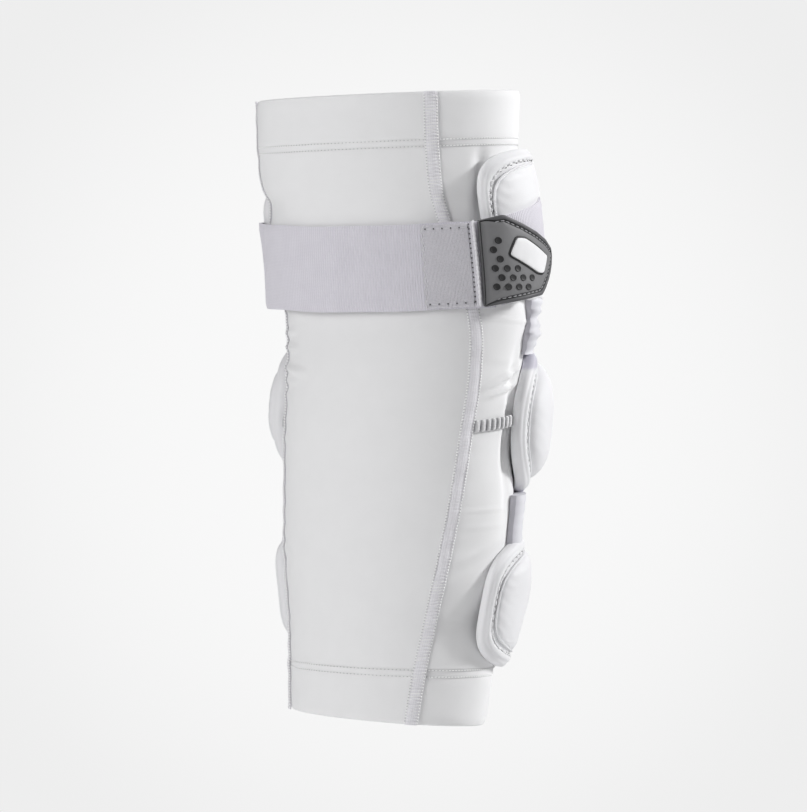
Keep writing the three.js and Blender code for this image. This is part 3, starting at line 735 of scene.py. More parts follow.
def cover_material(name, dark, light, side=None):
    """Coated fabric: a fine leather-like grain, slightly darker in slow clouds."""
    material, n, l, shader = new_material(name)
    give(shader, {"Specular IOR Level": 0.4, "Sheen Weight": 0.08})
    place = n.new("ShaderNodeTexCoord").outputs["Object"]
    grain = give(n.new("ShaderNodeTexVoronoi"), {"Scale": 1500})
    l.new(place, grain.inputs["Vector"])
    cloud = noise_node(n, l, place, 45, 5)
    colour = colour_mix(n, l, cloud, dark, light)
    if side:
        zone = n.new("ShaderNodeAttribute")
        zone.attribute_name = "elastic"
        colour = colour_mix(n, l, zone.outputs["Fac"], colour, side)
    l.new(colour, shader.inputs["Base Color"])
    gloss = range_node(n, l, cloud, {"To Min": 0.5, "To Max": 0.66})
    l.new(gloss, shader.inputs["Roughness"])
    raise_surface(n, l, shader, grain.outputs["Distance"], 0.12, 0.0002)
    return material


pad_cover = cover_material(
    "pad_cover", (0.77, 0.77, 0.785), (0.835, 0.835, 0.85), side=(0.57, 0.56, 0.63)
)


def pad_place(pad, x, y):
    """The share of the length and the angle of a place on a pad, x and y from -1 to 1 over it."""
    angle = (pad["near"] + pad["far"]) / 2 + x * (pad["far"] - pad["near"]) / 2 + pad["skew"] * y
    return pad["at"] + (y / 2 + pad["lean"] * x) * pad["height"] / sleeve_length, angle


def pad_spot(pad, corner, x, y, inset):
    """A place in mm inside the pad's outline, in the direction and share of a square's x and y."""
    share = np.maximum(np.abs(x), np.abs(y))
    safe = np.maximum(share, 1e-6)
    bx, by = x / safe, y / safe
    size = np.maximum((np.abs(bx) ** corner + np.abs(by) ** corner) ** (1 / corner), 1e-6)
    half_arc = (pad["far"] - pad["near"]) / 2 * float(degree(pad["at"], 45))
    px = bx / size * (1 - inset / half_arc)
    py = by / size * (1 - inset / (pad["height"] / 2))
    return px, py


def pad_blank(name):
    """A square block of cells with its upper and lower faces, ready to be shaped."""
    bpy.ops.object.select_all(action="DESELECT")
    bpy.ops.mesh.primitive_grid_add(x_subdivisions=pad_cells, y_subdivisions=pad_cells, size=2)
    piece = bpy.context.object
    piece.name = piece.data.name = name
    bpy.ops.object.mode_set(mode="EDIT")
    bpy.ops.mesh.select_all(action="SELECT")
    bpy.ops.mesh.extrude_region_move(TRANSFORM_OT_translate={"value": (0, 0, 1)})
    bpy.ops.mesh.select_all(action="SELECT")
    bpy.ops.mesh.normals_make_consistent(inside=False)
    bpy.ops.object.mode_set(mode="OBJECT")
    points = np.array([v.co[:] for v in piece.data.vertices])
    return piece, points[:, 0], points[:, 1], points[:, 2] > 0.5


def set_points(piece, points):
    piece.data.vertices.foreach_set("co", (points * MM).ravel())
    piece.data.update()


def ring_number(x, y):
    """0 for a block's outermost ring, and counting inwards to the middle."""
    return np.rint((1 - np.maximum(np.abs(x), np.abs(y))) * rings).astype(int)


def mark_elastic(piece, shares):
    """Marks where a cover is grey elastic."""
    zone = piece.data.attributes.new("elastic", "FLOAT", "POINT")
    zone.data.foreach_set("value", shares.astype(np.float32))


def base_profile(pad):
    """Inset and offset of the base's upper face, ring by ring from its side wall inwards."""
    f = pad["foam"]
    return np.array(
        [
            (-0.15, f - 5.2), (-0.25, f - 4.0), (0.0, f - 2.9), (0.55, f - 1.9), (1.25, f - 1.4),
            (1.75, f - 1.15), (2.25, f - 0.2), (2.9, f + 0.15), (3.6, f + 0.32), (4.3, f + 0.25),
            (4.8, f - 0.05), (5.2, f - 0.55), (stitch_inset, f - 0.8), (5.9, f - 0.5), (6.6, f - 0.3),
        ]
    )


def dome_profile(pad, count):
    """Inset, share of the dome and share of its rise, ring by ring: the turned bead, then the dome."""
    bead = [(6.05, 1.0, -0.2), (6.0, 1.0, 0.45), (6.25, 1.0, 0.95), (6.65, 1.0, 0.95), (7.0, 1.0, 0.4)]
    rows = []
    for j in range(count - len(bead)):
        u = j / (count - len(bead) - 1)
        rows.append((7.1, 1 - u**1.6, None))
    return bead, rows


def pucker(pad, angle, at):
    """A small gather in the cover beside the seam, from 0 to 1."""
    walk = np.radians(angle) * 58 + at * sleeve_length * 1.3
    return 0.5 + 0.5 * np.sin(walk * 1.37) * np.sin(walk * 0.61 + 2)


def pad_base(key):
    """The flat flange: foam with a pressed shoulder, and grey elastic at the elbow flange's ends."""
    pad = pads[key]
    piece, gx, gy, top = pad_blank(key + "_pad_flange")
    k = ring_number(gx, gy)
    profile = base_profile(pad)
    last = len(profile) - 1
    row = np.minimum(k, last)
    inset = np.where(top, profile[row, 0], 0.0)
    shrink = np.where(
        top, 1 - np.maximum(k - last, 0) / (rings - last), np.maximum(np.abs(gx), np.abs(gy))
    )
    px, py = pad_spot(pad, pad["corner"], gx, gy, inset)
    px, py = px * shrink, py * shrink
    at, angle = pad_place(pad, px, py)
    gathered = pucker(pad, angle, at) * np.exp(-(((inset - 4.9) / 1.1) ** 2)) * 0.35
    soft = 0.14 * np.sin(np.radians(angle) * 9 + at * 60) * ease(inset, -0.5, 2)
    offset = np.where(top, profile[row, 1] - np.where(k <= last, gathered - soft, 0), gap)
    set_points(piece, skin(at, angle, offset))
    ends = np.maximum(ease(py, 0.64, 0.68), ease(-py, 0.79, 0.83)) * (k < 12)
    mark_elastic(piece, ends if key == "elbow" else ends * 0)
    apply_modifier(piece, "SUBSURF", levels=1, render_levels=1)
    finish_piece(piece, pad_cover, "pad_cover", key + "_pad_base")
    return piece


def puff(piece, held, most):
    """Blows the cover out with the cloth simulation while its sewn foot is held, by most mm at most."""
    before = np.array([v.co[:] for v in piece.data.vertices])
    group = piece.vertex_groups.new(name="sewn foot")
    group.add([int(i) for i in np.flatnonzero(held)], 1.0, "REPLACE")
    modifier = piece.modifiers.new("Cloth", "CLOTH")
    settings = modifier.settings
    settings.quality = 5
    settings.use_pressure = True
    settings.uniform_pressure_force = 4
    settings.vertex_group_mass = "sewn foot"
    settings.tension_stiffness = 25
    settings.compression_stiffness = 18
    settings.bending_stiffness = 1.2
    settings.effector_weights.gravity = 0
    for number in range(1, 21):
        bpy.context.scene.frame_set(number)
    shaped = piece.evaluated_get(bpy.context.evaluated_depsgraph_get()).data
    after = np.array([v.co[:] for v in shaped.vertices])
    piece.modifiers.remove(modifier)
    piece.vertex_groups.remove(group)
    bpy.context.scene.frame_set(1)
    moved = after - before
    size = np.maximum(np.linalg.norm(moved, axis=1, keepdims=True), 1e-9)
    limit = most * MM
    moved = moved / size * (limit * np.tanh(size / limit))
    piece.data.vertices.foreach_set("co", (before + moved).ravel())
    piece.data.update()


def pad_dome(key):
    """The domed cover: a turned bead at the seam, then the crown, blown out a little by its foam."""
    pad = pads[key]
    start_low, lumps = pad["start_low"], pad["lumps"]
    piece, gx, gy, top = pad_blank(key + "_pad_cover")
    k = ring_number(gx, gy)
    bead, rows = dome_profile(pad, rings + 1)
    insets = np.array([r[0] for r in bead + rows])
    shares = np.array([r[1] for r in bead + rows])
    over = np.array([r[2] if r[2] is not None else 0.0 for r in bead + rows])
    on_dome = k >= len(bead)
    share = np.where(top, shares[k], np.maximum(np.abs(gx), np.abs(gy)))
    inset = np.where(top, insets[k], 6.05)
    px, py = pad_spot(pad, pad["dome_corner"], gx, gy, inset)
    px, py = px * share, py * share
    at, angle = pad_place(pad, px, py)
    ends = pad["low_end"] + (1 - pad["low_end"]) * (py + 1) / 2
    rise = (pad["rise"] - start_low) * ends * np.sqrt(np.maximum(1 - share**dome_squareness, 0))
    near_seam = np.exp(-(((1 - share) / 0.09) ** 2))
    gathers = near_seam * (pucker(pad, angle, at) - 0.5) * 0.7
    lumpy = lumps * np.sin(np.radians(angle) * 7 + 1) * np.sin(at * 55) * (1 - share**4)
    lift = pad["foam"] + 0.1 + np.where(top, np.where(on_dome, rise + gathers + lumpy, over[k]), -0.5)
    if key == "upper":
        pressed = strap_press(at, angle)
        lift = np.where(top & on_dome, np.minimum(lift, pressed), lift)
    set_points(piece, skin(at, angle, lift))
    puff(piece, ~(top & (k > len(bead) + 1)), start_low + 0.6)
    if key == "upper":
        points = np.array([v.co[:] for v in piece.data.vertices]) / MM
        held = skin(at, angle, pressed)
        deeper = np.linalg.norm(points - skin(at, angle, 0), axis=1) > np.linalg.norm(
            held - skin(at, angle, 0), axis=1
        )
        set_points(piece, np.where((deeper & top & on_dome)[:, None], held, points))
    mark_elastic(piece, np.zeros(len(px)))
    apply_modifier(piece, "SUBSURF", levels=1, render_levels=1)
    finish_piece(piece, pad_cover, "pad_cover", key + "_pad_dome")
    return piece


def outline_row(pad, corner, inset, pitch):
    """Places and outward ways, a pitch apart, along a line at an inset from the pad's edge."""
    turn = np.linspace(0, 2 * math.pi, 1441)
    c, s = np.cos(turn), np.sin(turn)
    scale = 1 / np.maximum(np.abs(c), np.abs(s))
    px, py = pad_spot(pad, corner, c * scale, s * scale, inset)
    at, angle = pad_place(pad, px, py)
    points = skin(at, angle, 0)
    walked = np.concatenate([[0], np.cumsum(np.linalg.norm(np.diff(points, axis=0), axis=1))])
    count = int(walked[-1] / pitch)
    goals = np.linspace(0, walked[-1], count, endpoint=False)
    return np.interp(goals, walked, at), np.interp(goals, walked, angle)


def pad_stitches(key):
    """A row of long stitches pulled into the groove beside the dome: each leaves a needle hole at its
    end, painted as a near black bead of shade, and a small puff of the cover beside it, a little
    off line."""
    pad = pads[key]
    chance = random.Random(key)
    lines = [outline_row(pad, pad["corner"], stitch_inset - d, pad_pitch) for d in (0.0, 0.75)]
    at, angle = lines[0]
    count = min(len(lines[0][0]), len(lines[1][0]))
    low = pad["foam"] - 0.5
    stitches, hole_shades, puffs = [], [], []
    for i in range(count - 1):
        start = np.array([at[i], angle[i]])
        step = np.array([at[i + 1], angle[i + 1]]) - start
        edge = np.array([np.interp(i / count, np.linspace(0, 1, len(r)), r) for r in lines[1]])
        a, b = start + step * 0.3, start + step * (0.95 + chance.uniform(-0.06, 0.06))
        out = outward(*start)
        stitches.append((skin(*a, low), skin(*b, low + 0.25), out))
        end = start + step * (0.2 + chance.uniform(-0.05, 0.05))
        hole_shades.append((skin(*start, low + 0.15), skin(*end, low + 0.1), out))
        jog = chance.uniform(0.0, 0.45)
        puff_start = edge + (start - edge) * jog + step * 0.12
        high = low + 0.45 + chance.uniform(-0.1, 0.15)
        puffs.append((skin(*puff_start, high), skin(*(puff_start + step * 0.72), high), out))
    sew(key + "_pad_holes", hole_shades, 1.1, "pad_cover", dark_painted_shade)
    sew(key + "_pad_puffs", puffs, 1.35, "pad_cover", puffed_cover)
    return sew(key + "_pad_stitches", stitches, 0.7, "pad_cover")


puffed_cover = cover_material("puffed_cover", (0.78, 0.78, 0.79), (0.85, 0.85, 0.86))

# Strap's lie: a knitted elastic band starts under the rubber tab, climbs the upper pad's side,
# presses on its dome, hangs across the back of the arm and comes round the front to the tab again.
strap_width = 44
strap_cloth = 1.8
strap_press_depth = 2.6
upper_near, upper_far = pads["upper"]["near"], pads["upper"]["far"]
strap_start = upper_near + 4
strap_end = upper_near + 361
# share of the way round, and height of the strap's middle as a share of the sleeve's length
strap_line = np.array(
    [
        (0.0, 0.73), (0.13, 0.764), (0.3, 0.776), (0.45, 0.752), (0.56, 0.731),
        (0.66, 0.726), (0.81, 0.721), (0.92, 0.725), (1.0, 0.73),
    ]
)
seat_sleeve = gap + tape_cloth + gap
seat_foam = pads["upper"]["foam"] + gap
seat_dome = seat_foam + pads["upper"]["rise"] - strap_press_depth + gap
# angle, how far out the strap lies, and how much of it hangs free of the arm below
strap_seat = np.array(
    [
        (upper_near - 10, seat_foam, 0), (upper_near, seat_foam, 0),
        (upper_near + 6, seat_dome, 0), (upper_far - 6, seat_dome, 0), (upper_far, seat_foam, 0),
        (upper_far + 18, seat_sleeve, 0.9), (upper_near + 332, seat_sleeve, 0.5),
        (upper_near + 357, seat_foam, 0), (upper_near + 361, seat_foam, 0),
    ]
)


def strap_at(angle):
    return follow(strap_line, 1, (np.asarray(angle, float) - upper_near) / 360)


def strap_point(angle, up, offset):
    """A point on the strap: along it by an angle, up from its middle line and out from its seat."""
    angle = np.asarray(angle, float)
    middle = strap_at(angle)
    at = middle + up / sleeve_length
    edge = middle + strap_width / 2 / sleeve_length
    seat = np.interp(angle, strap_seat[:, 0], strap_seat[:, 1]) + offset
    hang = np.interp(angle, strap_seat[:, 0], strap_seat[:, 2])
    point = skin(at + (edge - at) * hang, angle, seat)
    point[..., 2] = skin(at, angle, seat)[..., 2]
    return point


def strap_press(at, angle):
    """How far out the upper dome may stand: just under the strap, and free of it to either side."""
    under = np.interp(angle, strap_seat[:, 0], strap_seat[:, 1]) - 0.25
    away = np.abs((at - strap_at(angle)) * sleeve_length) - strap_width / 2
    return under + 4.0 * ease(away, -0.3, 4.5)


flanges = {key: pad_base(key) for key in pads}
covers = {key: pad_dome(key) for key in pads}
for key in pads:
    pad_stitches(key)

# Links: two wide pads of foam in a white cover, bound along their sides with grey elastic, that
# join the three pads. They are tucked under the pads' edges, and the upper one is crumpled.
link_foam = 6.6
link_near, link_far = 12, 172
link_reach = 0.84
link_cover = cover_material(
    "link_cover", (0.69, 0.69, 0.725), (0.78, 0.78, 0.82), side=(0.58, 0.57, 0.62)
)


def pad_end(pad, angle, share):
    """The height of a pad's leaning end at an angle: a share of its half height up or down."""
    x = (2 * angle - pad["near"] - pad["far"]) / (pad["far"] - pad["near"])
    return pad["at"] + (share / 2 + pad["lean"] * x) * pad["height"] / sleeve_length


def link(name, above, below, creases, deep, crumple, node):
    piece, gx, gy, top = pad_blank(name)
    angle = (link_near + link_far) / 2 + gx * (link_far - link_near) / 2
    foot = pad_end(pads[below], angle, link_reach)
    head = pad_end(pads[above], angle, -link_reach)
    at = foot + (head - foot) * (gy + 1) / 2
    edge = np.maximum((np.abs(gx) - 0.90) / 0.10, 0)
    wave = np.sin(math.pi * creases * (gy + 1) / 2 + crumple * np.sin(gx * 5)) ** 2
    folded = deep * wave + 0.06 * crumple * np.sin(gy * 17 + np.sin(gx * 9) * 2)
    thick = link_foam * (1 - folded) * np.sqrt(np.maximum(1 - 0.72 * edge**2.4, 0))
    slack = 0.10 * crumple * np.sin(gy * 6 + 0.7) * 9
    offset = np.where(top, thick, gap)
    set_points(piece, skin(at, angle + np.where(np.abs(gx) > 0.8, slack, 0), offset))
    mark_elastic(piece, np.where(top, ease(np.abs(gx), 0.965, 0.985), 1.0))
    finish_piece(piece, link_cover, "link_elastic", node)


link("upper_padded_link", "upper", "elbow", 2, 0.3, 1.3, "upper_link")
link("lower_padded_link", "elbow", "lower", 1, 0.08, 0.25, "lower_link")

# Anchors: a short ribbed elastic on each side ties the elbow pad to the seam tape, so that the pad
# stays over the elbow. Its bars are cords in the weave, with thin cloth between.
anchor_height = 6.2
anchor_ribs = 9
anchor_long = 20
anchor_cloth = 0.5
anchor_climb = 3
# Its colour is painted light and shade over the ribs: near white on the bars, near black in the grooves
# between them.
anchor_elastic = cloth_material(
    "anchor_elastic", (0.25, 0.25, 0.27), (0.95, 0.95, 0.95), anchor_long / anchor_ribs, 0.5, 0.4
)


def anchor(name, start_angle, end_angle, node):
    pad = pads["elbow"]
    middle = pad["at"] - pad["lean"] * pad["height"] / sleeve_length

    def lie(x, y):
        angle = start_angle + (end_angle - start_angle) * x
        bar = np.abs(np.sin(math.pi * anchor_ribs * x)) ** 0.8
        tall = anchor_height * (0.93 + 0.07 * bar)
        climb = anchor_climb * (x if start_angle < 90 else 1 - x)
        at = middle + (climb + (y - 0.5) * tall) / sleeve_length
        end = 1 - np.abs(2 * y - 1) ** 6
        lift = gap + 0.25 + (0.35 + 1.15 * bar) * (0.35 + 0.65 * end)
        return skin(at, angle, lift + np.maximum(drape(at, angle), 0) * 0.5)

    cloth_piece(
        name, (anchor_ribs * 10, 12), lie, (anchor_long, anchor_height), anchor_cloth,
        anchor_elastic, "link_elastic", node, start=-anchor_long / 4 / anchor_ribs,
    )


def tape_side(seam):
    """The angle of a seam beside the elbow pad, and half the tape's width there in degrees."""
    angle = float(seam_angle(pads["elbow"]["at"], seam))
    return angle, (tape_width / 2) / float(degree(pads["elbow"]["at"], angle))


near_side, near_step = tape_side(3)
far_side, far_step = tape_side(4)
anchor("near_anchor", near_side + near_step, pads["elbow"]["near"] + 3, "near_elbow_anchor")
anchor("far_anchor", pads["elbow"]["far"] - 3, far_side - far_step, "far_elbow_anchor")

# Strap: 44 mm knitted elastic in pale lilac grey. Its cords stand across it as fine ribs, closer
# and flatter where the band is stretched, and its two selvedges are thin.
strap_elastic = cloth_material(
    "strap_elastic", (0.60, 0.58, 0.64), (0.77, 0.755, 0.81), 1.3, 0.75, 0.5, uneven=0.6, sheen=0.3
)
strap_long = 402
rib_pitch = 1.3


def strap_lie(x, y):
    angle = strap_start + (strap_end - strap_start) * x
    up = (y - 0.5) * strap_width
    rib = np.cos(2 * math.pi * x * strap_long / rib_pitch)
    shown = 0.35 + 0.65 * ease(angle, 215, 290)
    edge = np.abs(2 * y - 1)
    selvedge = 0.55 * ease(edge, 0.93, 1.0)
    wave = 0.18 * np.sin(x * 40 + y * 3) * np.sin(y * 4 + 1)
    up = up + 0.18 * np.sin(x * 55) * edge
    raised = 0.13 * rib * shown * (1 - selvedge) - selvedge + wave
    return strap_point(angle, up, strap_cloth - 0.1 + raised)


strap_band = cloth_piece(
    "strap_band", (1400, 14), strap_lie, (strap_long, strap_width), strap_cloth - 0.3,
    strap_elastic, "strap_elastic", "strap",
)

# Loop patch: brushed loop fabric sewn on the strap's outer end. A zigzag closes its left edge, a
# row of stitches holds it along the top and bottom, and a folded ridge ends it at the tab.
patch_cloth = 1.0
under_tab = 7
patch_turn = 23
patch_end_angle = strap_end - under_tab
patch_start_angle = patch_end_angle - patch_turn
patch_long = 28
patch_per_degree = patch_long / patch_turn
patch_wide = strap_width - 1.6
loop_pile = cloth_material(
    "loop_pile", (0.58, 0.565, 0.61), (0.76, 0.745, 0.79), 0.7, 0.6, 0.9,
    uneven=1.4, rough=1.0, sheen=0.5,
)


def patch_tooth(y):
    """How the patch's left edge wanders, as a share of its length."""
    return 0.02 * np.sin(y * patch_wide * 2 * math.pi / 5.2 + np.sin(y * 9))


def patch_lie(x, y):
    tooth = patch_tooth(y) * (1 - ease(x, 0.0, 0.09))
    angle = patch_start_angle + patch_turn * (x + tooth)
    up = (y - 0.5) * patch_wide
    grit = 0.07 * np.sin(x * 149 + np.sin(y * 83) * 2) * np.sin(y * 131 + np.sin(x * 61) * 2)
    mm = x * patch_long
    fallen = ease(mm, patch_long - 0.7, patch_long)
    ridge = 0.8 * (ease(mm, patch_long - 2.9, patch_long - 2.0) - fallen)
    groove = 0.6 * np.exp(-(((mm - (patch_long - 3.3)) / 0.4) ** 2))
    rim = 0.55 * ease(np.abs(2 * y - 1), 0.955, 1.0) + 0.25 * (1 - ease(x, 0.0, 0.02))
    row = 0.22 * np.exp(-(((np.abs(2 * y - 1) - 0.9) * patch_wide / 2 / 0.7) ** 2))
    return strap_point(angle, up, strap_cloth + gap + patch_cloth + grit + ridge - groove - rim - row)


loop_patch = cloth_piece(
    "loop_patch", (108, 104), patch_lie, (patch_long, patch_wide), patch_cloth,
    loop_pile, "loop_fabric", "strap_loop_patch",
)

patch_thread = thread_material("patch_thread", (0.80, 0.79, 0.83), 0.6)
fold_thread = thread_material("fold_thread", (0.88, 0.87, 0.90), 0.7)


def patch_stitches():
    """Rows along the patch's top and bottom and beside its ridge, with a near black bead of painted
    shade in each needle hole, its zigzag edge with a grey line of painted shadow beside it, and
    its fold.
    """
    pairs, hole_shades, edge, fold = [], [], [], []
    top = strap_cloth + gap + patch_cloth

    def stitch(along0, up0, along1, up1, lift, into=pairs):
        a0, a1 = (patch_start_angle + along / patch_per_degree for along in (along0, along1))
        start, end = strap_point(a0, up0, lift), strap_point(a1, up1, lift)
        out = strap_point((a0 + a1) / 2, (up0 + up1) / 2, lift + 1) - (start + end) / 2
        into.append((start, end, out / np.linalg.norm(out)))

    for up in (-patch_wide * 0.45, patch_wide * 0.45):
        for i in range(6):
            along = 1.4 + i * 4.5
            stitch(along + 0.9, up, along + 3.8, up, top - 0.16)
            stitch(along, up, along + 0.75, up, top + 0.08, hole_shades)
    row, ridge = patch_long - 3.3, patch_long - 0.9
    for i in range(17):
        up = -patch_wide / 2 + 0.6 + i * 2.45
        stitch(row, up, row, up + 1.6, top - 0.1)
        stitch(row, up + 1.7, row, up + 2.4, top + 0.1, hole_shades)
        stitch(ridge, up - 0.6, ridge, up + 4.0, top + 0.65, fold)
    for i in range(42):
        low, high = -patch_wide / 2 + i, -patch_wide / 2 + i + 1
        a, b = (patch_tooth(up / patch_wide + 0.5) * patch_long - 0.35 for up in (low, high))
        stitch(a, low, b, high, top - 0.75, edge)
        if i % 2:
            stitch(a + 0.5, low, b + 1.5, high, top + 0.02)
    sew("patch_holes", hole_shades, 1.0, "loop_fabric", dark_painted_shade)
    sew("patch_edge_shadow", edge, 0.6, "loop_fabric", grey_painted_shade)
    sew("patch_fold", fold, 2.1, "loop_fabric", fold_thread)
    sew("patch_stitches", pairs, 0.5, "loop_fabric", patch_thread)


patch_stitches()

# Pull tab: moulded dark grey rubber sewn over the strap's end, seven-sided. A raised rim runs round
# a stitched groove, and the face inside it has round grip dimples and a plain light badge.
tab_height = 47
tab_turn = 52
tab_angle = strap_end - under_tab - 360 + 0.4
tab_at = float(strap_at(tab_angle)) + 1.5 / sleeve_length
tab_foot = strap_cloth + gap
tab_rubber = 2.6
tab_long = tab_turn * float(degree(tab_at, 0, tab_foot + seat_foam))
tab_corners = ((0, 0), (0.62, 0.13), (0.68, 0.19), (1, 0.56), (0.97, 0.64), (0.24, 1), (0.015, 0.935))
tab_middle = (0.42 * tab_long, 0.52 * tab_height)


def on_strap(points):
    """Flat points on the tab, along, up and out in mm, bent round over the strap."""
    angle = tab_angle + points[:, 0] / tab_long * tab_turn
    up = (tab_at - strap_at(angle)) * sleeve_length + points[:, 1] - tab_height / 2
    return strap_point(angle, up, points[:, 2])


def rounded(corners, radii, steps):
    """The outline of a cornered shape with its corners rounded, as points in mm."""
    outline = []
    count = len(corners)
    for k in range(count):
        a, b, c = (np.array(corners[(k + d) % count], float) for d in (-1, 0, 1))
        reach = min(radii[k], np.linalg.norm(a - b) * 0.45, np.linalg.norm(c - b) * 0.45)
        start = b + (a - b) / np.linalg.norm(a - b) * reach
        end = b + (c - b) / np.linalg.norm(c - b) * reach
        for i in range(steps + 1):
            u = i / steps
            outline.append((1 - u) ** 2 * start + 2 * u * (1 - u) * b + u * u * end)
        nxt = np.array(corners[(k + 2) % count], float)
        far = min(radii[(k + 1) % count], np.linalg.norm(c - b) * 0.45, np.linalg.norm(nxt - c) * 0.45)
        stop = c + (b - c) / np.linalg.norm(b - c) * far
        for i in range(1, 4):
            outline.append(end + (stop - end) * i / 4)
    return np.array(outline)


def inward_ways(outline):
    """The way inwards at each point of a flat outline."""
    along = np.roll(outline, -1, axis=0) - np.roll(outline, 1, axis=0)
    inwards = np.stack([-along[:, 1], along[:, 0]], axis=1)
    return inwards / np.linalg.norm(inwards, axis=1, keepdims=True)


def moulded(name, outline, middle, profile, narrow=1.0):
    """A moulded plate: a flat outline walked inwards and outwards, ring by ring, over a profile of
    inset, share towards the middle, and height, then bent over the strap."""
    count = len(outline)
    bpy.ops.object.select_all(action="DESELECT")
    bpy.ops.mesh.primitive_circle_add(vertices=count, radius=1, fill_type="NOTHING")
    piece = bpy.context.object
    piece.name = piece.data.name = name
    bpy.ops.object.mode_set(mode="EDIT")
    bpy.ops.mesh.select_all(action="SELECT")
    for _ in profile[1:]:
        bpy.ops.mesh.extrude_edges_move(TRANSFORM_OT_translate={"value": (0, 0, 1)})
    bpy.ops.mesh.edge_face_add()
    bpy.ops.object.mode_set(mode="OBJECT")
    points = np.array([v.co[:] for v in piece.data.vertices])
    ring = np.rint(points[:, 2]).astype(int)
    turn = np.rint(np.arctan2(points[:, 1], points[:, 0]) / (2 * math.pi) * count).astype(int) % count
    table = np.array(profile, float)
    inset, share, height = (table[ring, i][:, None] for i in range(3))
    inset = inset * (narrow * np.ones(count))[turn][:, None]
    flat = outline[turn] + inward_ways(outline)[turn] * inset
    flat = middle + (flat - middle) * share
    points = on_strap(np.hstack([flat, height]))
    set_points(piece, points)
    return piece


def rubber_material(name, dark, light, rough):
    """Moulded rubber: a fine matt spark finish, dustier in slow patches."""
    material, n, l, shader = new_material(name)
    give(shader, {"Specular IOR Level": 0.45})
    place = n.new("ShaderNodeTexCoord").outputs["Object"]
    spark = noise_node(n, l, place, 2600, 3)
    dust = noise_node(n, l, place, 130, 5)
    l.new(colour_mix(n, l, dust, dark, light), shader.inputs["Base Color"])
    gloss = range_node(n, l, dust, {"To Min": rough - 0.08, "To Max": rough + 0.1})
    l.new(gloss, shader.inputs["Roughness"])
    raise_surface(n, l, shader, spark, 0.2, 0.0001)
    return material


rim_rubber = rubber_material("rim_rubber", (0.075, 0.075, 0.08), (0.115, 0.115, 0.12), 0.5)
# The groove's near black is painted shade in the stitched groove.
groove_shade_rubber = rubber_material("groove_shade_rubber", (0.03, 0.03, 0.032), (0.05, 0.05, 0.053), 0.6)
face_rubber = rubber_material("face_rubber", (0.16, 0.16, 0.165), (0.21, 0.21, 0.215), 0.5)
badge_finish = rubber_material("badge_finish", (0.78, 0.78, 0.79), (0.87, 0.87, 0.88), 0.42)

tab_outline = rounded(
    [(u * tab_long, v * tab_height) for u, v in tab_corners], (1.2, 1.5, 1.5, 1.6, 1.6, 1.6, 1.2), 4
)
top = tab_foot + tab_rubber
tab_profile = [
    (0.6, 0.3, tab_foot + 0.1), (0.6, 0.7, tab_foot + 0.1), (0.6, 1, tab_foot + 0.1),
    (0.1, 1, tab_foot + 0.35), (0, 1, tab_foot + 0.8), (0, 1, top - 0.6), (0.15, 1, top - 0.2),
    (0.5, 1, top), (1.6, 1, top), (1.9, 1, top - 0.15), (2.05, 1, top - 0.65), (2.3, 1, top - 0.75),
    (3.2, 1, top - 0.75), (3.5, 1, top - 0.65), (3.6, 1, top - 0.35),
]
face_inset = 3.8
face_top = top - 0.3
tab_profile += [
    (face_inset, share, face_top) for share in (1, 0.88, 0.76, 0.64, 0.5, 0.36, 0.22, 0.08)
]
beside_patch = 0.3 + 0.7 * ease(tab_outline[:, 0], 0.06 * tab_long, 0.2 * tab_long)
rubber_tab = moulded("rubber_tab", tab_outline, tab_middle, tab_profile, beside_patch)
for material in (rim_rubber, groove_shade_rubber, face_rubber):
    rubber_tab.data.materials.append(material)
ring_points = len(tab_outline)
for face in rubber_tab.data.polygons:
    ring = min(face.vertices) // ring_points
    face.material_index = 0 if ring < 9 else 1 if ring < 13 else 2
finish_piece(rubber_tab, None, "tab_rubber", "pull_tab")


tab_thread = thread_material("tab_thread", (0.46, 0.46, 0.48), 0.55)
tab_pitch = 2.9
tab_stitch = 2.0
tab_row_inset = 2.75


def tab_stitches():
    """Light stitches in the tab's groove, along all its sides but the one on the patch."""
    line = tab_outline + inward_ways(tab_outline) * tab_row_inset
    line = np.vstack([line, line[:1]])
    walked = np.concatenate([[0], np.cumsum(np.linalg.norm(np.diff(line, axis=0), axis=1))])
    pairs = []
    for i in range(int(walked[-1] / tab_pitch)):
        ends = []
        for d in (i * tab_pitch, i * tab_pitch + tab_stitch):
            p = [np.interp(d, walked, line[:, k]) for k in (0, 1)]
            ends.append(on_strap(np.array([[*p, top - 0.55]]))[0])
        if p[0] < 0.12 * tab_long:
            continue
        higher = on_strap(np.array([[*p, top + 0.5]]))[0] - ends[1]
        pairs.append((ends[0], ends[1], higher / np.linalg.norm(higher)))
    sew("tab_stitches", pairs, 0.5, "tab_rubber", tab_thread)


tab_stitches()


def circle_outline(middle, radius, count):
    turns = np.arange(count) / count * 2 * math.pi
    return np.array(middle) + radius * np.stack([np.cos(turns), np.sin(turns)], axis=1)


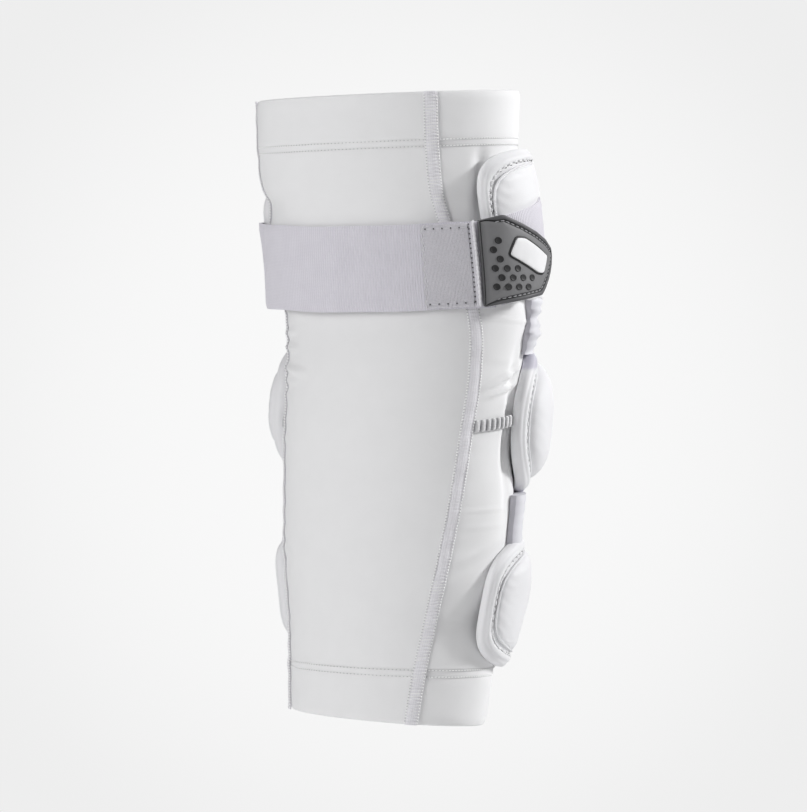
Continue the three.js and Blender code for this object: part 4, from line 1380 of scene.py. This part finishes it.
# The dimples are cups with a soft lip, set in the face in a staggered field below the badge.
dimple_radius = 1.75
dimple_apart = 0.105
dimples = []
for row, (v, starts, count) in enumerate(
    (
        (0.22, 0.12, 4), (0.32, 0.17, 4), (0.42, 0.12, 3),
        (0.52, 0.17, 1), (0.62, 0.12, 1), (0.72, 0.17, 1),
    )
):
    for i in range(count):
        spot = ((starts + dimple_apart * i) * tab_long, v * tab_height)
        dimple = moulded(
            f"dimple_{row}_{i}",
            circle_outline(spot, dimple_radius, 16),
            spot,
            [
                (0.0, 1, face_top - 0.15), (0.0, 1, face_top + 0.2), (0.22, 1, face_top + 0.3),
                (0.45, 1, face_top + 0.25), (0.6, 1, face_top + 0.18), (0.6, 0.4, face_top + 0.16),
            ],
        )
        dimples.append(dimple)
bpy.ops.object.select_all(action="DESELECT")
for dimple in dimples:
    dimple.select_set(True)
bpy.context.view_layer.objects.active = dimples[0]
bpy.ops.object.join()
grip_dimples = bpy.context.object
grip_dimples.name = grip_dimples.data.name = "grip_dimples"
# The dimples and the line round the badge's foot are near black: painted shade in the cups and at the
# badge's foot.
recess_shade_rubber = rubber_material("recess_shade_rubber", (0.012, 0.012, 0.013), (0.022, 0.022, 0.023), 0.55)
finish_piece(grip_dimples, recess_shade_rubber, "tab_rubber")

# Badge: a plain light six-sided plate, and a rubber line moulded round its foot, painted near
# black as shade.
badge_height = 18
badge_turn = 25
badge_long = badge_turn / tab_turn * tab_long
badge_shape = ((0, 0.52), (0.62, 0.02), (0.8, 0), (1, 0.48), (0.36, 0.98), (0.18, 1))
badge_left = 0.5 * tab_long - badge_long / 2
badge_low = 0.56 * tab_height - badge_height / 2
badge_middle = (badge_left + badge_long / 2, badge_low + badge_height / 2)
badge_outline = rounded(
    [(badge_left + u * badge_long, badge_low + v * badge_height) for u, v in badge_shape], (1.6,) * 6, 3
)
badge_profile = [
    (0.3, 0.4, face_top + 0.02), (0, 1, face_top + 0.02), (0, 1, face_top + 0.75),
    (0.2, 1, face_top + 0.98), (0.55, 1, face_top + 1.05), (0.9, 0.7, face_top + 1.08),
    (0.9, 0.4, face_top + 1.09), (0.9, 0.1, face_top + 1.1),
]
light_badge = moulded("light_badge", badge_outline, badge_middle, badge_profile)
finish_piece(light_badge, badge_finish, "badge_rubber", "pull_tab_badge")
line_profile = [
    (0.3, 0.5, face_top - 0.1), (-1.1, 1, face_top - 0.1), (-1.1, 1, face_top + 0.2),
    (-0.9, 1, face_top + 0.32), (-0.15, 1, face_top + 0.34), (0.3, 0.9, face_top + 0.3),
    (0.3, 0.3, face_top + 0.3),
]
badge_line = moulded("badge_line", badge_outline, badge_middle, line_profile)
finish_piece(badge_line, recess_shade_rubber, "tab_rubber")
